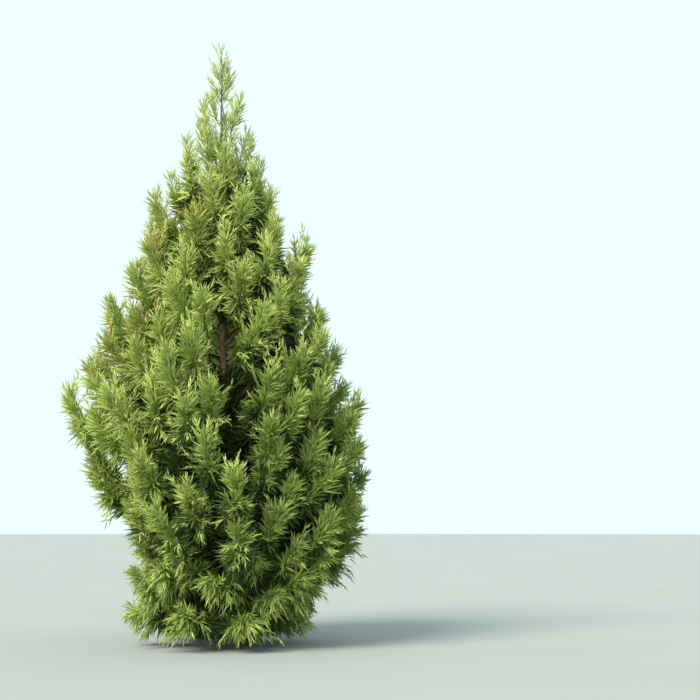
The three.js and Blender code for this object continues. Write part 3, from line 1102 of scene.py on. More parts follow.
def sweep(centres: Array, radii: Array) -> Surface:
    """Round sections carried along many paths at once.

    A point of a section is the path's point plus radius * (cos a * side + sin a * over), where side
    and over are square to the path, which is followed without twist. Both ends are closed by fans.

    Args:
        centres: The paths' points, as an array of (paths, rows, 3).
        radii: The radius towards each side of each row, as (paths, rows, sides).

    Returns:
        Points and triangles of all paths.
    """
    paths, rows, sides = radii.shape
    along = unit(np.gradient(centres, axis=1))
    side = np.empty_like(along)
    side[:, 0] = square_frame(along[:, 0])[0]
    for row in range(1, rows):
        last = side[:, row - 1]
        lean = (last * along[:, row]).sum(-1, keepdims=True)
        side[:, row] = unit(last - lean * along[:, row])
    over = np.cross(along, side)
    angle = np.arange(sides) * 2 * np.pi / sides
    out = np.cos(angle)[:, None] * side[:, :, None] + np.sin(angle)[:, None] * over[:, :, None]
    points = (centres[:, :, None] + radii[..., None] * out).reshape(-1, 3)
    starts = np.arange(paths)[:, None, None] * rows * sides
    return points, (tube_faces(rows, sides)[None] + starts).reshape(-1, 3)


def bark_ridges(angle: Array, along: Array, strips: int, phase: float) -> Array:
    """The relief of peeling bark, from 0 in a furrow to 1 on a strip.

    Strips are the folded waves |sin| of the angle times half their number. Their phase wanders
    along the limb by two slow waves, and a second, finer set of waves frays them.

    Args:
        angle: The angle round the limb, in radians.
        along: The way along the limb, in metres.
        strips: How many strips there are round it.
        phase: A number that makes each limb's bark its own.

    Returns:
        The relief, in the shape that angle and along make together.
    """
    wander = 1.1 * np.sin(along * 7.3 + phase) + 0.6 * np.sin(along * 23.0 + 2.1 * phase)
    broad = np.abs(np.sin(angle * strips / 2 + wander + phase))
    fray = 0.8 * np.sin(along * 41.0 + 3.0 * angle) + 0.5 * np.sin(along * 17.0 - 2.0 * angle)
    fine = np.abs(np.sin(angle * strips + fray + 2.7 * phase))
    return 0.65 * broad**0.6 + 0.35 * fine**0.8


@dataclass
class Trunk:
    """The trunk with the relief of its bark, from the flat foot to the tip."""

    form: TrunkForm
    rows: int = 230
    columns: int = 48
    row_crowding: float = 1.15
    strips: int = 16
    relief: float = 0.0042
    relief_share: float = 0.07

    def build(self, material: bpy.types.Material) -> bpy.types.Object:
        """Makes the trunk, as rings at rising heights round its leaning centre line.

        The radius is the taper, plus the lobed root flare, plus the relief of the bark less half
        its depth. The ring lies level, so that the foot is a flat cut on the ground.

        Args:
            material: The finish of the bark.

        Returns:
            The trunk's piece.
        """
        form = self.form
        height = form.height * np.linspace(0.0, 1.0, self.rows)[:, None] ** self.row_crowding
        angle = np.linspace(0.0, 2 * np.pi, self.columns, endpoint=False)[None, :]
        taper = form.radius(height)
        ridges = bark_ridges(angle, height, self.strips, 0.0) - 0.5
        depth = np.minimum(self.relief, self.relief_share * taper)
        radius = taper + form.root_flare(angle, height) + depth * ridges
        ring = form.centre(height) + direction(angle) * radius[..., None]
        triangles = tube_faces(self.rows, self.columns)
        piece = make_piece("trunk_bark", ring.reshape(-1, 3), triangles, [material], smooth=True)
        finish_piece(piece, "bark", "trunk")
        return piece


@dataclass
class Bough:
    """One main bough with the relief of its bark, from the trunk's centre to its knee."""

    limb: Limb
    number: int
    collar: float = 0.55
    collar_length: float = 0.07
    rows: int = 24
    columns: int = 10
    strips: int = 7
    strip_phase: float = 1.7
    relief: float = 0.0022
    relief_fade: float = 6.0

    def build(self, trunk: TrunkForm, material: bpy.types.Material) -> bpy.types.Object:
        """Makes the bough: a taper with a collar where it leaves the trunk, and ridged bark.

        The collar adds a share of the radius that dies away with the distance from the trunk's
        bark, and the relief fades over the last part of the bough.

        Args:
            trunk: The trunk that it grows from.
            material: The finish of the bark.

        Returns:
            The bough's piece.
        """
        share = np.linspace(0.0, 1.0, self.rows)
        centres = self.limb.curve.points(share * KNEE_SHARE)
        away = share * self.limb.curve.length() * KNEE_SHARE
        beyond = np.maximum(away - trunk.radius(centres[0, 2]), 0.0)
        taper = mix(self.limb.radius, KNEE_RADIUS, share)
        taper = taper * (1 + self.collar * np.exp(-beyond / self.collar_length))
        angle = np.linspace(0.0, 2 * np.pi, self.columns, endpoint=False)[None, :]
        phase = self.number * self.strip_phase
        ridges = bark_ridges(angle, away[:, None], self.strips, phase) - 0.5
        fade = np.minimum(1.0, (1.0 - share) * self.relief_fade)[:, None]
        radius = taper[:, None] + self.relief * ridges * fade
        points, triangles = sweep(centres[None], radius[None])
        name = f"bough_{self.number:02d}"
        piece = make_piece(f"{name}_bark", points, triangles, [material], smooth=True)
        finish_piece(piece, "bark", name)
        return piece


@dataclass(frozen=True)
class NeedleShoot:
    """A leafy shoot: a slim stem that curved needles stand out of all round, pointing forward."""

    length: float = 0.12
    stem_radius: float = 0.009
    stem_swell: float = 0.36
    needles: int = 4
    needle_length: float = 0.035
    needle_width: float = 0.008
    needle_shrink: float = 0.35
    lean: float = math.radians(23)
    first: float = 0.08
    last: float = 0.86
    # Where a needle's base and its keel lie in the stem, and how far the keel hangs back
    base_out: float = 0.35
    keel_out: float = 0.4
    keel_drop: float = 0.9

    def solid(self) -> Surface:
        """The shoot along +Z from the origin, as a three-sided spindle and its needles.

        Each needle is a three-sided awl: its base is a small triangle sunk in the stem, and its tip
        lies needle_length away at the lean angle. Needles follow the golden angle up the stem, and
        shrink towards its tip.

        Returns:
            Points and triangles of one shoot.
        """
        corner = np.arange(3) * 2 * np.pi / 3
        ring = np.stack((np.cos(corner), np.sin(corner), np.zeros(3)), axis=1)
        ring = ring * self.stem_radius + UP * self.length * self.stem_swell
        stem = np.concatenate(([UP * 0.0], ring, [UP * self.length]))
        near, far = np.arange(3) + 1, (np.arange(3) + 1) % 3 + 1
        foot, tip = np.zeros(3, int), np.full(3, 4)
        stem_faces = np.concatenate(
            (np.stack((near, foot, far), axis=1), np.stack((near, far, tip), axis=1))
        )
        place = np.linspace(self.first, self.last, self.needles)
        azimuth = np.arange(self.needles) * GOLDEN_ANGLE
        out = direction(azimuth)
        across = direction(azimuth + np.pi / 2)
        shrink = (1.0 - self.needle_shrink * place)[:, None]
        foot_line = UP * (place * self.length)[:, None]
        base = foot_line + out * self.stem_radius * self.base_out * shrink
        half = across * self.needle_width / 2 * shrink
        drop = UP * self.needle_width * self.keel_drop * shrink
        keel = base + out * self.stem_radius * self.keel_out - drop
        along = out * math.sin(self.lean) + UP * math.cos(self.lean)
        point = base + along * self.needle_length * shrink
        points = np.stack((base - half, base + half, keel, point), axis=1)
        awl = np.array([[0, 3, 1], [1, 3, 2], [2, 3, 0]])
        starts = len(stem) + points.shape[1] * np.arange(self.needles)[:, None, None]
        faces = np.concatenate((stem_faces, (awl[None] + starts).reshape(-1, 3)))
        return np.concatenate((stem, points.reshape(-1, 3))), faces


@dataclass(frozen=True)
class InnerSpray:
    """A coarse spray for the shut-in inside of the crown: blades that fan out of one point."""

    length: float = 0.16
    blades: int = 5
    blade_width: float = 0.032
    blade_foot: float = 0.25
    opening: float = math.radians(42)
    lengths: int = 3
    shortening: float = 0.3
    # How far the whole spray curves along its line, and hangs
    curve: float = 0.03
    sag: float = 0.015

    def solid(self) -> Surface:
        """The spray along +Z from the origin: three-sided blades round a cone.

        Blade k leans out by opening * sqrt((k + 0.5) / blades), and has one of a few lengths.

        Returns:
            Points and triangles of one spray.
        """
        azimuth = np.arange(self.blades) * GOLDEN_ANGLE
        opening = self.opening * np.sqrt((np.arange(self.blades) + 0.5) / self.blades)
        along = direction(azimuth, np.pi / 2 - opening)
        rank = np.arange(self.blades) % self.lengths
        reach = self.length * (1.0 - self.shortening * rank / (self.lengths - 1))[:, None]
        side, over = square_frame(along)
        corner = (np.arange(3) * 2 * np.pi / 3)[None, :, None]
        ring = np.cos(corner) * side[:, None] + np.sin(corner) * over[:, None]
        base = along[:, None] * reach[:, None] * self.blade_foot + ring * self.blade_width / 2
        points = np.concatenate((base, (along * reach)[:, None]), axis=1)
        near, far = np.arange(3), (np.arange(3) + 1) % 3
        blade = np.stack((near, far, np.full(3, 3)), axis=1)
        starts = points.shape[1] * np.arange(self.blades)[:, None, None]
        return points.reshape(-1, 3), (blade[None] + starts).reshape(-1, 3)


@dataclass
class Shoots:
    """Many copies of a shoot or spray, one row each, with the way that each is placed."""

    root: Array
    heading: Array
    bend: Array
    stretch: Array
    girth: Array
    roll: Array
    tone: Array

    def __len__(self) -> int:
        """How many there are."""
        return len(self.root)

    def tips(self, length: float) -> Array:
        """Where the tips lie, for a pattern of the given length."""
        return self.root + self.heading * (self.stretch * length)[:, None] + self.bend

    def kept(self, mask: Array) -> "Shoots":
        """Only the shoots that a mask keeps."""
        return Shoots(**{name: values[mask] for name, values in vars(self).items()})

    @staticmethod
    def joined(several: list["Shoots"]) -> "Shoots":
        """Several sets as one."""
        names = vars(several[0])
        return Shoots(**{n: np.concatenate([getattr(s, n) for s in several]) for n in names})

    def surface(self, pattern: Surface, length: float, lowest: float) -> tuple[Array, Array, Array]:
        """The mesh of all copies.

        A pattern's point (x, y, z) comes to root + heading * z * stretch + bend * (z / length)^2
        + girth * (x, y turned by the roll, along two vectors square to the heading).

        Args:
            pattern: Points and triangles of one copy, along +Z.
            length: The pattern's own length.
            lowest: The height below which no copy may reach. One that does is left out.

        Returns:
            Points, triangles, and each triangle's material slot.
        """
        points, faces = pattern
        side, over = square_frame(self.heading)
        cos, sin = np.cos(self.roll)[:, None], np.sin(self.roll)[:, None]
        turned_side = (side * cos + over * sin) * self.girth[:, None]
        turned_over = (over * cos - side * sin) * self.girth[:, None]
        x, y, z = points[None, :, 0, None], points[None, :, 1, None], points[None, :, 2, None]
        placed = self.root[:, None] + self.heading[:, None] * self.stretch[:, None, None] * z
        placed = placed + self.bend[:, None] * (z / length) ** 2
        placed = placed + turned_side[:, None] * x + turned_over[:, None] * y
        clear = placed[..., 2].min(axis=1) > lowest
        placed = placed[clear]
        starts = np.arange(len(placed))[:, None, None] * len(points)
        slots = np.repeat(self.tone[clear], len(faces))
        return placed.reshape(-1, 3), (faces[None] + starts).reshape(-1, 3), slots


@dataclass
class Branchlets:
    """The branchlets of one plume: root + length * (heading * t + curl * t^2) for t from 0 to 1."""

    root: Array
    heading: Array
    curl: Array
    length: Array
    share: Array

    def points(self, t: Array) -> Array:
        """The points at shares t, an array of (branchlets, places)."""
        way = self.heading[:, None] * t[..., None] + self.curl[:, None] * t[..., None] ** 2
        return self.root[:, None] + way * self.length[:, None, None]

    def headings(self, t: Array) -> Array:
        """The unit tangents at shares t."""
        return unit(self.heading[:, None] + 2 * self.curl[:, None] * t[..., None])

    def kept(self, mask: Array) -> "Branchlets":
        """Only the branchlets that a mask keeps."""
        return Branchlets(**{name: values[mask] for name, values in vars(self).items()})


@dataclass(frozen=True)
class PlumeHabit:
    """How a plume branches: counts, angles and lengths of its branchlets and shoots."""

    # Branchlets: their counts, and where they stand on the plume's axis
    branchlets: int = 34
    spire_branchlets: int = 30
    first_share: float = -0.12
    last_share: float = 0.88
    place_play: float = 0.3
    place_crowding: float = 0.9
    turn_play: float = 0.5
    # Their angle to the axis, which narrows towards its tip, and is halved on one in every few
    foot_angle: float = math.radians(70)
    tip_angle: float = math.radians(43)
    angle_fall: float = 0.8
    angle_play: float = 0.17
    spire_closing: float = 0.62
    inner_every: int = 3
    inner_closing: float = 0.5
    # Their reach, as a share of the plume's spread
    foot_reach: float = 0.94
    tip_reach: float = 0.76
    reach_fall: float = 1.3
    reach_range: Span = (0.55, 1.3)
    size_play: float = 0.14
    least_spread: float = 0.15
    # Their curve: those at the foot hang, and those near the tip rise
    droop: float = 0.38
    skirt_droop: float = 0.75
    droop_until: float = 0.5
    skirt_hanging: float = 0.75
    rise: float = 0.3
    curl_play: float = 0.08
    # Shoots: how close they stand on a branchlet, and on which part of it
    shoot_spacing: float = 0.0275
    spire_shoot_spacing: float = 0.04
    needled_share: float = 0.8
    most_shoots: int = 8
    end_from: float = 0.62
    side_from: float = 0.2
    side_part: float = 0.72
    shoot_play: float = 0.04
    shoot_limits: Span = (0.05, 0.98)
    # Their turn round the branchlet and their angle to it
    shoot_turn: float = 2.6
    shoot_turn_play: float = 0.3
    end_angle: float = 0.06
    side_angle: float = math.radians(31)
    spire_side_angle: float = math.radians(22)
    side_angle_play: float = 0.12
    lift: float = 0.06
    skirt_lift: float = -0.22
    # Their size and their curve
    side_length: Span = (0.125, 0.09)
    end_length: float = 0.12
    edge_scale: float = 1.15
    length_range: Span = (0.8, 1.2)
    shoot_girth: float = 0.95
    spire_girth: float = 0.76
    girth_range: Span = (0.85, 1.15)
    follow: float = 0.22
    sag: float = 0.1
    skirt_sag: float = 0.2
    # The room that a plume has between its neighbours
    room_places: tuple[float, ...] = (0.15, 0.5, 0.85)
    neighbours: int = 5
    usual_room: float = 0.43
    fullness_range: Span = (0.88, 1.3)
    outer_slack: float = -0.02
    free_growth: float = 0.6
    least_reach: float = 0.6
    sister_slack: float = 1.4
    space_slack: float = 0.1
    mass_gap: float = 0.02
    merging_heights: Span = (2.8, 4.4)
    # The heights at which the crown thins out, its inside is closed and its skirt ends
    top_thinning: float = 0.4
    top_heights: Span = (6.1, 6.9)
    low_extra: float = 1.0
    closed_heights: Span = (1.0, 2.8)
    skirt_heights: Span = (0.7, 2.1)
    plume_thinning: Span = (4.7, 6.2)
    stem_thinning: Span = (4.6, 5.6)


@dataclass(frozen=True)
class TrunkTuft:
    """The branchlets that stand on the slender upper trunk itself, round the foot of a limb."""

    branchlets: int = 32
    rise: float = 0.5
    drop: float = 0.08
    place_play: float = 0.4
    turn: float = 7.0
    elevations: Span = (0.72, 1.02)
    lengths: Span = (0.46, 0.2)
    length_heights: Span = (4.0, 6.8)
    length_range: Span = (0.8, 1.15)
    lift: float = 0.12
    curl_play: float = 0.05
    shares: Span = (0.3, 0.8)
    thinned_at: float = 0.4
    # The plume that its shoots are dealt out as
    first_index: int = 900
    indexes_per_metre: int = 10
    length: float = 0.5
    spread: float = 0.2
    spire: float = 0.9


@dataclass(frozen=True)
class ToneHabit:
    """What makes a shoot fresher or duller, with painted light and shade, and where the crown is bronzed
    or lit inside.
    """

    # Freshness rises towards a plume's tip and a branchlet's end, from younger growth and from painted
    # light on the outer ends
    usual: float = 0.17
    axis_gain: float = 0.48
    end_gain: float = 0.21
    shoot_play: float = 0.1
    branchlet_play: float = 0.08
    plume_play: float = 0.1
    # Painted shade on the low crown, and painted light on the high crown and on its left side, towards
    # the key lamp
    low_loss: float = 0.3
    low_heights: Span = (0.4, 2.1)
    high_gain: float = 0.68
    high_heights: Span = (2.4, 4.5)
    sun_gain: float = 0.42
    sun_heights: Span = (0.2, 2.2)
    spire_loss: float = 0.35
    # The freshness, with its painted light and shade, at which each tone gives way to the next
    steps: tuple[float, ...] = (0.3, 0.47, 0.66, 0.86)
    bronzed: float = 0.012
    bronze_patches: tuple[Bulge, ...] = (
        Bulge(236, 4.98, 0.85, 26, 0.28),
        Bulge(206, 4.6, 0.6, 24, 0.26),
        Bulge(204, 3.5, 0.6, 18, 0.42),
        Bulge(-42, 5.2, 0.4, 22, 0.14),
        Bulge(-45, 6.78, 0.4, 70, 0.12),
    )
    # Where the sprays inside take lighter tones as painted light: up high, and lower down on the left
    # side
    lit_heights: Span = (2.6, 4.2)
    inner_sun_heights: Span = (1.2, 2.4)
    stem_light: float = 0.8


# The tones of leafy shoots, from painted shade to painted light, the last also the freshest
SHOOT_TONES = (
    SprayTone.SHADE,
    SprayTone.MIDDLE,
    SprayTone.MATURE,
    SprayTone.SUNLIT,
    SprayTone.FRESH,
)

# How much there is of each tone inside a plume, where it is shaded and where it is lit
PLUME_TONES = {
    SprayTone.SHADE: (0.4, 0.0),
    SprayTone.MIDDLE: (0.5, 0.15),
    SprayTone.MATURE: (0.1, 0.5),
    SprayTone.SUNLIT: (0.0, 0.35),
}

# The same on the stems and twigs inside the crown, from its dark depths to its lit top
DEPTH_TONES = {
    SprayTone.INNER_DEEP: (0.5, 0.0),
    SprayTone.INNER: (0.47, 0.05),
    SprayTone.SHADE: (0.0, 0.25),
    SprayTone.MIDDLE: (0.0, 0.47),
    SprayTone.MATURE: (0.0, 0.2),
    SprayTone.RUSSET: (0.03, 0.03),
}


def tone_shares(tones: dict[SprayTone, Span], lit: float) -> dict[SprayTone, float]:
    """How much there is of each tone in a light from 0, where it is shaded, to 1, where it is lit."""
    return {tone: mix(shaded, bright, lit) for tone, (shaded, bright) in tones.items()}


@dataclass(frozen=True)
class SprayGroup:
    """One group of coarse sprays: how many leave a line, where they stand on it, and how."""

    count: int
    chances: Span
    crowding: float
    lean: Span
    scale: Span
    first: float = 0.0

    def places(self, amount: float, rng: np.random.Generator) -> Array:
        """Where the sprays leave a line: first + (1 - first) * chance^crowding, as shares of it.

        Args:
            amount: How many there are, as a share of the usual count.
            rng: Where the chances come from.

        Returns:
            The shares.
        """
        chances = rng.uniform(*self.chances, round(self.count * amount))
        return mix(self.first, 1.0, chances**self.crowding)


@dataclass(frozen=True)
class SprayHabit:
    """The groups of coarse sprays that close the inside of the crown."""

    on_plume: SprayGroup = SprayGroup(26, (0.0, 0.78), 1.1, (0.35, 0.95), (0.6, 0.95))
    on_twig: SprayGroup = SprayGroup(38, (0.02, 1.0), 0.8, (0.7, 1.5), (0.8, 1.6))
    round_plume_foot: SprayGroup = SprayGroup(26, (0.0, 0.3), 1.0, (1.3, 2.5), (1.0, 2.0))
    on_stem: SprayGroup = SprayGroup(84, (0.0, 1.0), 0.75, (0.6, 1.6), (1.1, 2.5), first=0.15)
    on_trunk: SprayGroup = SprayGroup(76, (0.0, 1.0), 1.0, (0.7, 1.5), (1.5, 3.9))
    # The stretch of trunk round a limb's foot that is clothed
    below_foot: float = 0.15
    above_foot: float = 0.4


@dataclass(frozen=True)
class Parting:
    """The gap in the foliage through which the trunk shows at the front.

    It is a wedge that opens forwards and slopes down with the line of sight.
    """

    crown: CrownForm
    near: float = 0.03
    half_width: float = 0.042
    opening: float = 0.075
    slope: float = 0.134
    lowest: float = 3.16
    highest: float = 3.8
    margin: float = 0.035
    swing: float = 0.3
    tried: tuple[float, ...] = (0.0, 0.4, 0.7, 1.0)

    def holds(self, points: Array, margin: Number) -> Array:
        """Which points lie in the gap.

        Args:
            points: An array of (points, 3).
            margin: How much wider than the gap itself it is taken, as one number or one a point.

        Returns:
            A mask of the points.
        """
        offset = self.crown.trunk.offset(points)
        ahead = offset @ direction(self.crown.parting_azimuth)
        beside = np.abs(offset @ direction(self.crown.parting_azimuth + np.pi / 2))
        level = points[:, 2] + self.slope * ahead
        end = np.minimum(margin, self.margin)
        level = (level > self.lowest - end) & (level < self.highest + end)
        wide = self.half_width + margin + self.opening * ahead
        return (ahead > self.near) & level & (beside < wide)

    def cleared(self, shoots: Shoots, length: float, margin: Number) -> Shoots:
        """The shoots that leave the gap open, tried at places along each one.

        Args:
            shoots: The shoots or sprays.
            length: Their pattern's length.
            margin: How much wider than the gap itself it is taken.

        Returns:
            Those that stay.
        """
        span = shoots.tips(length) - shoots.root
        inside = [self.holds(shoots.root + span * share, margin) for share in self.tried]
        return shoots.kept(~np.any(inside, axis=0))


@dataclass
class Foliage:
    """The foliage of the whole crown, one set of pieces for each limb."""

    skeleton: Skeleton
    limbs: list[Limb]
    habit: PlumeHabit = PlumeHabit()
    tuft: TrunkTuft = TrunkTuft()
    colouring: ToneHabit = ToneHabit()
    closing: SprayHabit = SprayHabit()
    shoot: NeedleShoot = NeedleShoot()
    inner: InnerSpray = InnerSpray()
    inner_margin: float = 0.08
    outline_margin: float = 0.12
    box_overhang: float = 0.09
    least_kept: float = 0.35
    crown_middle: float = -0.4
    ground_gap: float = 0.015
    # Wood: radii in metres, and how many rings and sides each kind of tube has
    stem_tip_radius: float = 0.008
    twig_radii: Span = (0.0062, 0.0046)
    plume_tip_radius: float = 0.0014
    branchlet_radii: Span = (0.0032, 0.0014)
    branchlet_end: float = 0.75
    stem_rings: int = 14
    twig_rings: int = 8
    plume_rings: int = 9
    stem_sides: int = 8
    twig_sides: int = 5
    branchlet_sides: int = 3
    # What the random numbers of each mass and of each plume start from
    mass_seeds_per_metre: int = 1000
    plume_seed: int = 7919
    # All plumes' axes as segments, with the plume and the mass that each one belongs to
    axes: Array = field(init=False)
    axis_plume: Array = field(init=False)
    axis_mass: Array = field(init=False)
    fullness: dict[int, float] = field(init=False)
    parting: Parting = field(init=False)

    def __post_init__(self) -> None:
        """Lays out the plumes' axes, and measures the room that each plume has between them."""
        plumes = [plume for limb in self.limbs for plume in limb.plumes]
        self.axes = np.concatenate([segments_of(plume.axis.chain(AXIS_STEPS)) for plume in plumes])
        self.axis_plume = np.repeat([plume.index for plume in plumes], AXIS_STEPS)
        counts = [AXIS_STEPS * len(limb.plumes) for limb in self.limbs]
        self.axis_mass = np.repeat(np.arange(len(self.limbs)), counts)
        self.fullness = {plume.index: self.room_round(plume) for plume in plumes}
        self.parting = Parting(self.skeleton.crown)

    def room_round(self, plume: Plume) -> float:
        """How much wider than usual a plume grows, from how far off its nearest neighbours are.

        The measure is the mean distance from a few points of its axis to the nearest plumes, over
        the usual distance.

        Args:
            plume: The plume.

        Returns:
            The factor.
        """
        habit = self.habit
        away = distances(plume.axis.points(habit.room_places), self.axes)
        away = away.mean(axis=0).reshape(-1, AXIS_STEPS).min(axis=1)
        nearest = np.sort(away)[1 : habit.neighbours + 1].mean()
        usual = mix(habit.usual_room, nearest, plume.spire)
        return float(np.clip(nearest / usual, *habit.fullness_range))

    def top_share(self, height: float) -> float:
        """1 in the crown, and less where it thins out towards the very top."""
        return 1 - self.habit.top_thinning * float(smooth_step(height, *self.habit.top_heights))

    def shut_in_share(self, height: float) -> float:
        """1 in the upper crown, and more low down, where the inside is closed with more sprays."""
        return 1 + self.habit.low_extra * float(1 - smooth_step(height, *self.habit.closed_heights))

    def sunward(self, plume: Plume) -> float:
        """1 for a plume on the crown's lit left side, falling to -1 on its right."""
        x, y = plume.axis.tip[0] - self.crown_middle, plume.axis.tip[1]
        return float(-x / math.hypot(x, y))

    def skirt_share(self, plume: Plume) -> float:
        """1 for the hanging plumes of the skirt, falling to 0 in the body of the crown."""
        return float(1 - smooth_step(plume.axis.tip[2], *self.habit.skirt_heights))

    def branchlets(self, plume: Plume, rng: np.random.Generator) -> Branchlets:
        """The branchlets of a plume, in a golden-angle spiral up its axis.

        Those at the foot stand out and droop, and those near the tip close in on the axis. A
        branchlet's reach is a share of the plume's spread that falls from the foot to the tip, and
        it is then fitted to the room between the plumes and to the crown's outline.

        Args:
            plume: The plume that they grow in.
            rng: Where its chances come from.

        Returns:
            The branchlets.
        """
        habit = self.habit
        count = mix(habit.branchlets, habit.spire_branchlets, plume.spire)
        count = round(count * self.top_share(plume.axis.tip[2]))
        number = np.arange(count)
        place = (number + rng.uniform(-habit.place_play, habit.place_play, count)) / (count - 1)
        place = np.clip(place, 0.0, 1.0) ** habit.place_crowding
        share = mix(habit.first_share, habit.last_share, place)
        inside = np.clip(share, 0.0, 1.0)
        root, along = plume.axis.points(inside), plume.axis.headings(inside)
        root = root + along * np.minimum(share, 0.0)[:, None] * plume.length
        azimuth = number * GOLDEN_ANGLE + 2 * np.pi * chance(plume.index, 7)
        azimuth = azimuth + rng.uniform(-habit.turn_play, habit.turn_play, count)
        angle = mix(habit.foot_angle, habit.tip_angle, inside**habit.angle_fall)
        angle = angle + rng.normal(0, habit.angle_play, count)
        inner = np.where(number % habit.inner_every, 1.0, habit.inner_closing)
        angle = angle * mix(1.0, habit.spire_closing, plume.spire) * inner
        heading = leaning(along, azimuth, angle)
        spread = max(plume.spread, habit.least_spread) * self.fullness[plume.index]
        length = spread * mix(habit.foot_reach, habit.tip_reach, inside**habit.reach_fall)
        size = 1 + habit.size_play * swing(plume.index, 12)
        length = length * rng.uniform(*habit.reach_range, count) * size
        skirt = self.skirt_share(plume)
        low = 1.0 - inside / habit.droop_until
        low = np.clip(low, habit.skirt_hanging * skirt, 1.0)[:, None]
        droop = mix(habit.droop, habit.skirt_droop, skirt) * (1 - plume.spire)
        curl = along * habit.rise * (1 - low) - UP * droop * low
        curl = curl + rng.normal(0, habit.curl_play, (count, 3))
        length = length * self.room_share(plume, root + (heading + curl) * length[:, None], inside)
        length = self.held_in(plume, root, (heading + curl) * length[:, None]) * length
        ends = root + (heading + curl) * length[:, None]
        clear = np.minimum(root[:, 2], ends[:, 2]) > self.ground_gap
        parts = (root, heading, curl, length, inside)
        return Branchlets(*(part[clear] for part in parts))

    def room_share(self, plume: Plume, ends: Array, inside: Array) -> Array:
        """How much longer or shorter than usual branchlets grow, from the room round their ends.

        A branchlet grows about halfway to the nearest other plume's axis, and further towards a
        plume of its own mass.

        Args:
            plume: The plume.
            ends: Where its branchlets would end.
            inside: Where they leave its axis, as shares of it.

        Returns:
            One factor for each.
        """
        habit = self.habit
        away = distances(ends, self.axes)
        own = self.axis_plume == plume.index
        sister = (self.axis_mass == self.axis_mass[own][0]) & ~own
        beside = np.where(sister, habit.sister_slack, 1.0) * away
        halfway = 0.5 + 0.5 * beside[:, ~own].min(axis=1) / away[:, own].min(axis=1)
        most = 1 + habit.free_growth * (1 - inside) * (1 - plume.spire)
        return np.clip(halfway, habit.least_reach, most)

    def from_trunk(self, points: Array) -> tuple[Array, Array]:
        """How far points lie from the trunk's line, and the level directions that they lie in."""
        offset = self.skeleton.crown.trunk.offset(points)
        return np.linalg.norm(offset, axis=-1), unit(offset)

    def held_in(self, plume: Plume, root: Array, way: Array) -> Array:
        """The shares of branchlets that stay inside the crown.

        A branchlet may reach as far from the trunk as the tip of its plume, or to a margin inside
        the crown's outline, whichever is further.

        Args:
            plume: The plume.
            root: Where the branchlets start.
            way: The steps from there to their ends.

        Returns:
            The share of its length that each one keeps, down to the least.
        """
        own, _ = self.from_trunk(plume.axis.tip[None])
        ends = root + way
        away, outward = self.from_trunk(ends)
        azimuth = np.arctan2(outward[:, 1], outward[:, 0])
        outline = self.skeleton.crown.reach(azimuth, ends[:, 2]) - self.outline_margin
        limit = max(float(own[0]) + self.habit.outer_slack, self.habit.least_spread)
        limit = np.maximum(limit, outline * (1 - plume.spire))
        step = np.maximum((way * outward).sum(-1), 1e-3)
        return np.clip(1.0 - (away - limit) / step, self.least_kept, 1.0)

    def side_shoots(self, plume: Plume, lets: Branchlets, rng: np.random.Generator) -> Shoots:
        """The leafy shoots of a plume's branchlets: one at each end, and others to all sides.

        Args:
            plume: The plume.
            lets: Its branchlets.
            rng: Where its chances come from.

        Returns:
            The shoots, with their tones.
        """
        habit = self.habit
        count = len(lets.length)
        spacing = mix(habit.shoot_spacing, habit.spire_shoot_spacing, plume.spire)
        wanted = np.round(habit.needled_share * lets.length / spacing)
        wanted = np.clip(wanted, 1, habit.most_shoots)
        slot = np.arange(habit.most_shoots + 1)[None, :]
        is_end = slot == 0
        beside = habit.side_from + habit.side_part * (slot - 0.5) / wanted[:, None]
        t = np.where(is_end, habit.end_from, beside)
        grown = slot <= wanted[:, None]
        t = t + rng.uniform(-habit.shoot_play, habit.shoot_play, t.shape)
        t = np.clip(t, *habit.shoot_limits)
        root, along = lets.points(t), lets.headings(t)
        around = slot * habit.shoot_turn + rng.uniform(0, 2 * np.pi, (count, 1))
        around = around + rng.normal(0, habit.shoot_turn_play, t.shape)
        skirt = self.skirt_share(plume)
        opening = mix(habit.side_angle, habit.spire_side_angle, plume.spire)
        opening = opening + rng.normal(0, habit.side_angle_play, t.shape)
        heading = leaning(along, around, np.where(is_end, habit.end_angle, opening))
        heading = unit(heading + UP * mix(habit.lift, habit.skirt_lift, skirt))
        scale = mix(1.0, habit.edge_scale, max(skirt, plume.spire))
        length = np.where(is_end, habit.end_length, mix(*habit.side_length, t)) * scale
        length = length * rng.uniform(*habit.length_range, t.shape)
        sag = (habit.sag + habit.skirt_sag * skirt) * (1 - lets.share) * (1 - plume.spire)
        bend = (along - heading * (along * heading).sum(-1, keepdims=True)) * habit.follow
        bend = (bend - UP * sag[:, None, None]) * length[..., None]
        share = np.broadcast_to(lets.share[:, None], t.shape)
        girth = mix(habit.shoot_girth, habit.spire_girth, plume.spire)
        shoots = Shoots(
            root=root[grown],
            heading=heading[grown],
            bend=bend[grown],
            stretch=(length / self.shoot.length)[grown],
            girth=(girth * rng.uniform(*habit.girth_range, t.shape))[grown],
            roll=rng.uniform(0, 2 * np.pi, t.shape)[grown],
            tone=np.zeros(int(grown.sum()), int),
        )
        luck = rng.normal(0, self.colouring.branchlet_play, (count, 1))
        luck = np.broadcast_to(luck, t.shape)
        shoots.tone = self.tones(plume, shoots, share[grown], t[grown], luck[grown], rng)
        return shoots

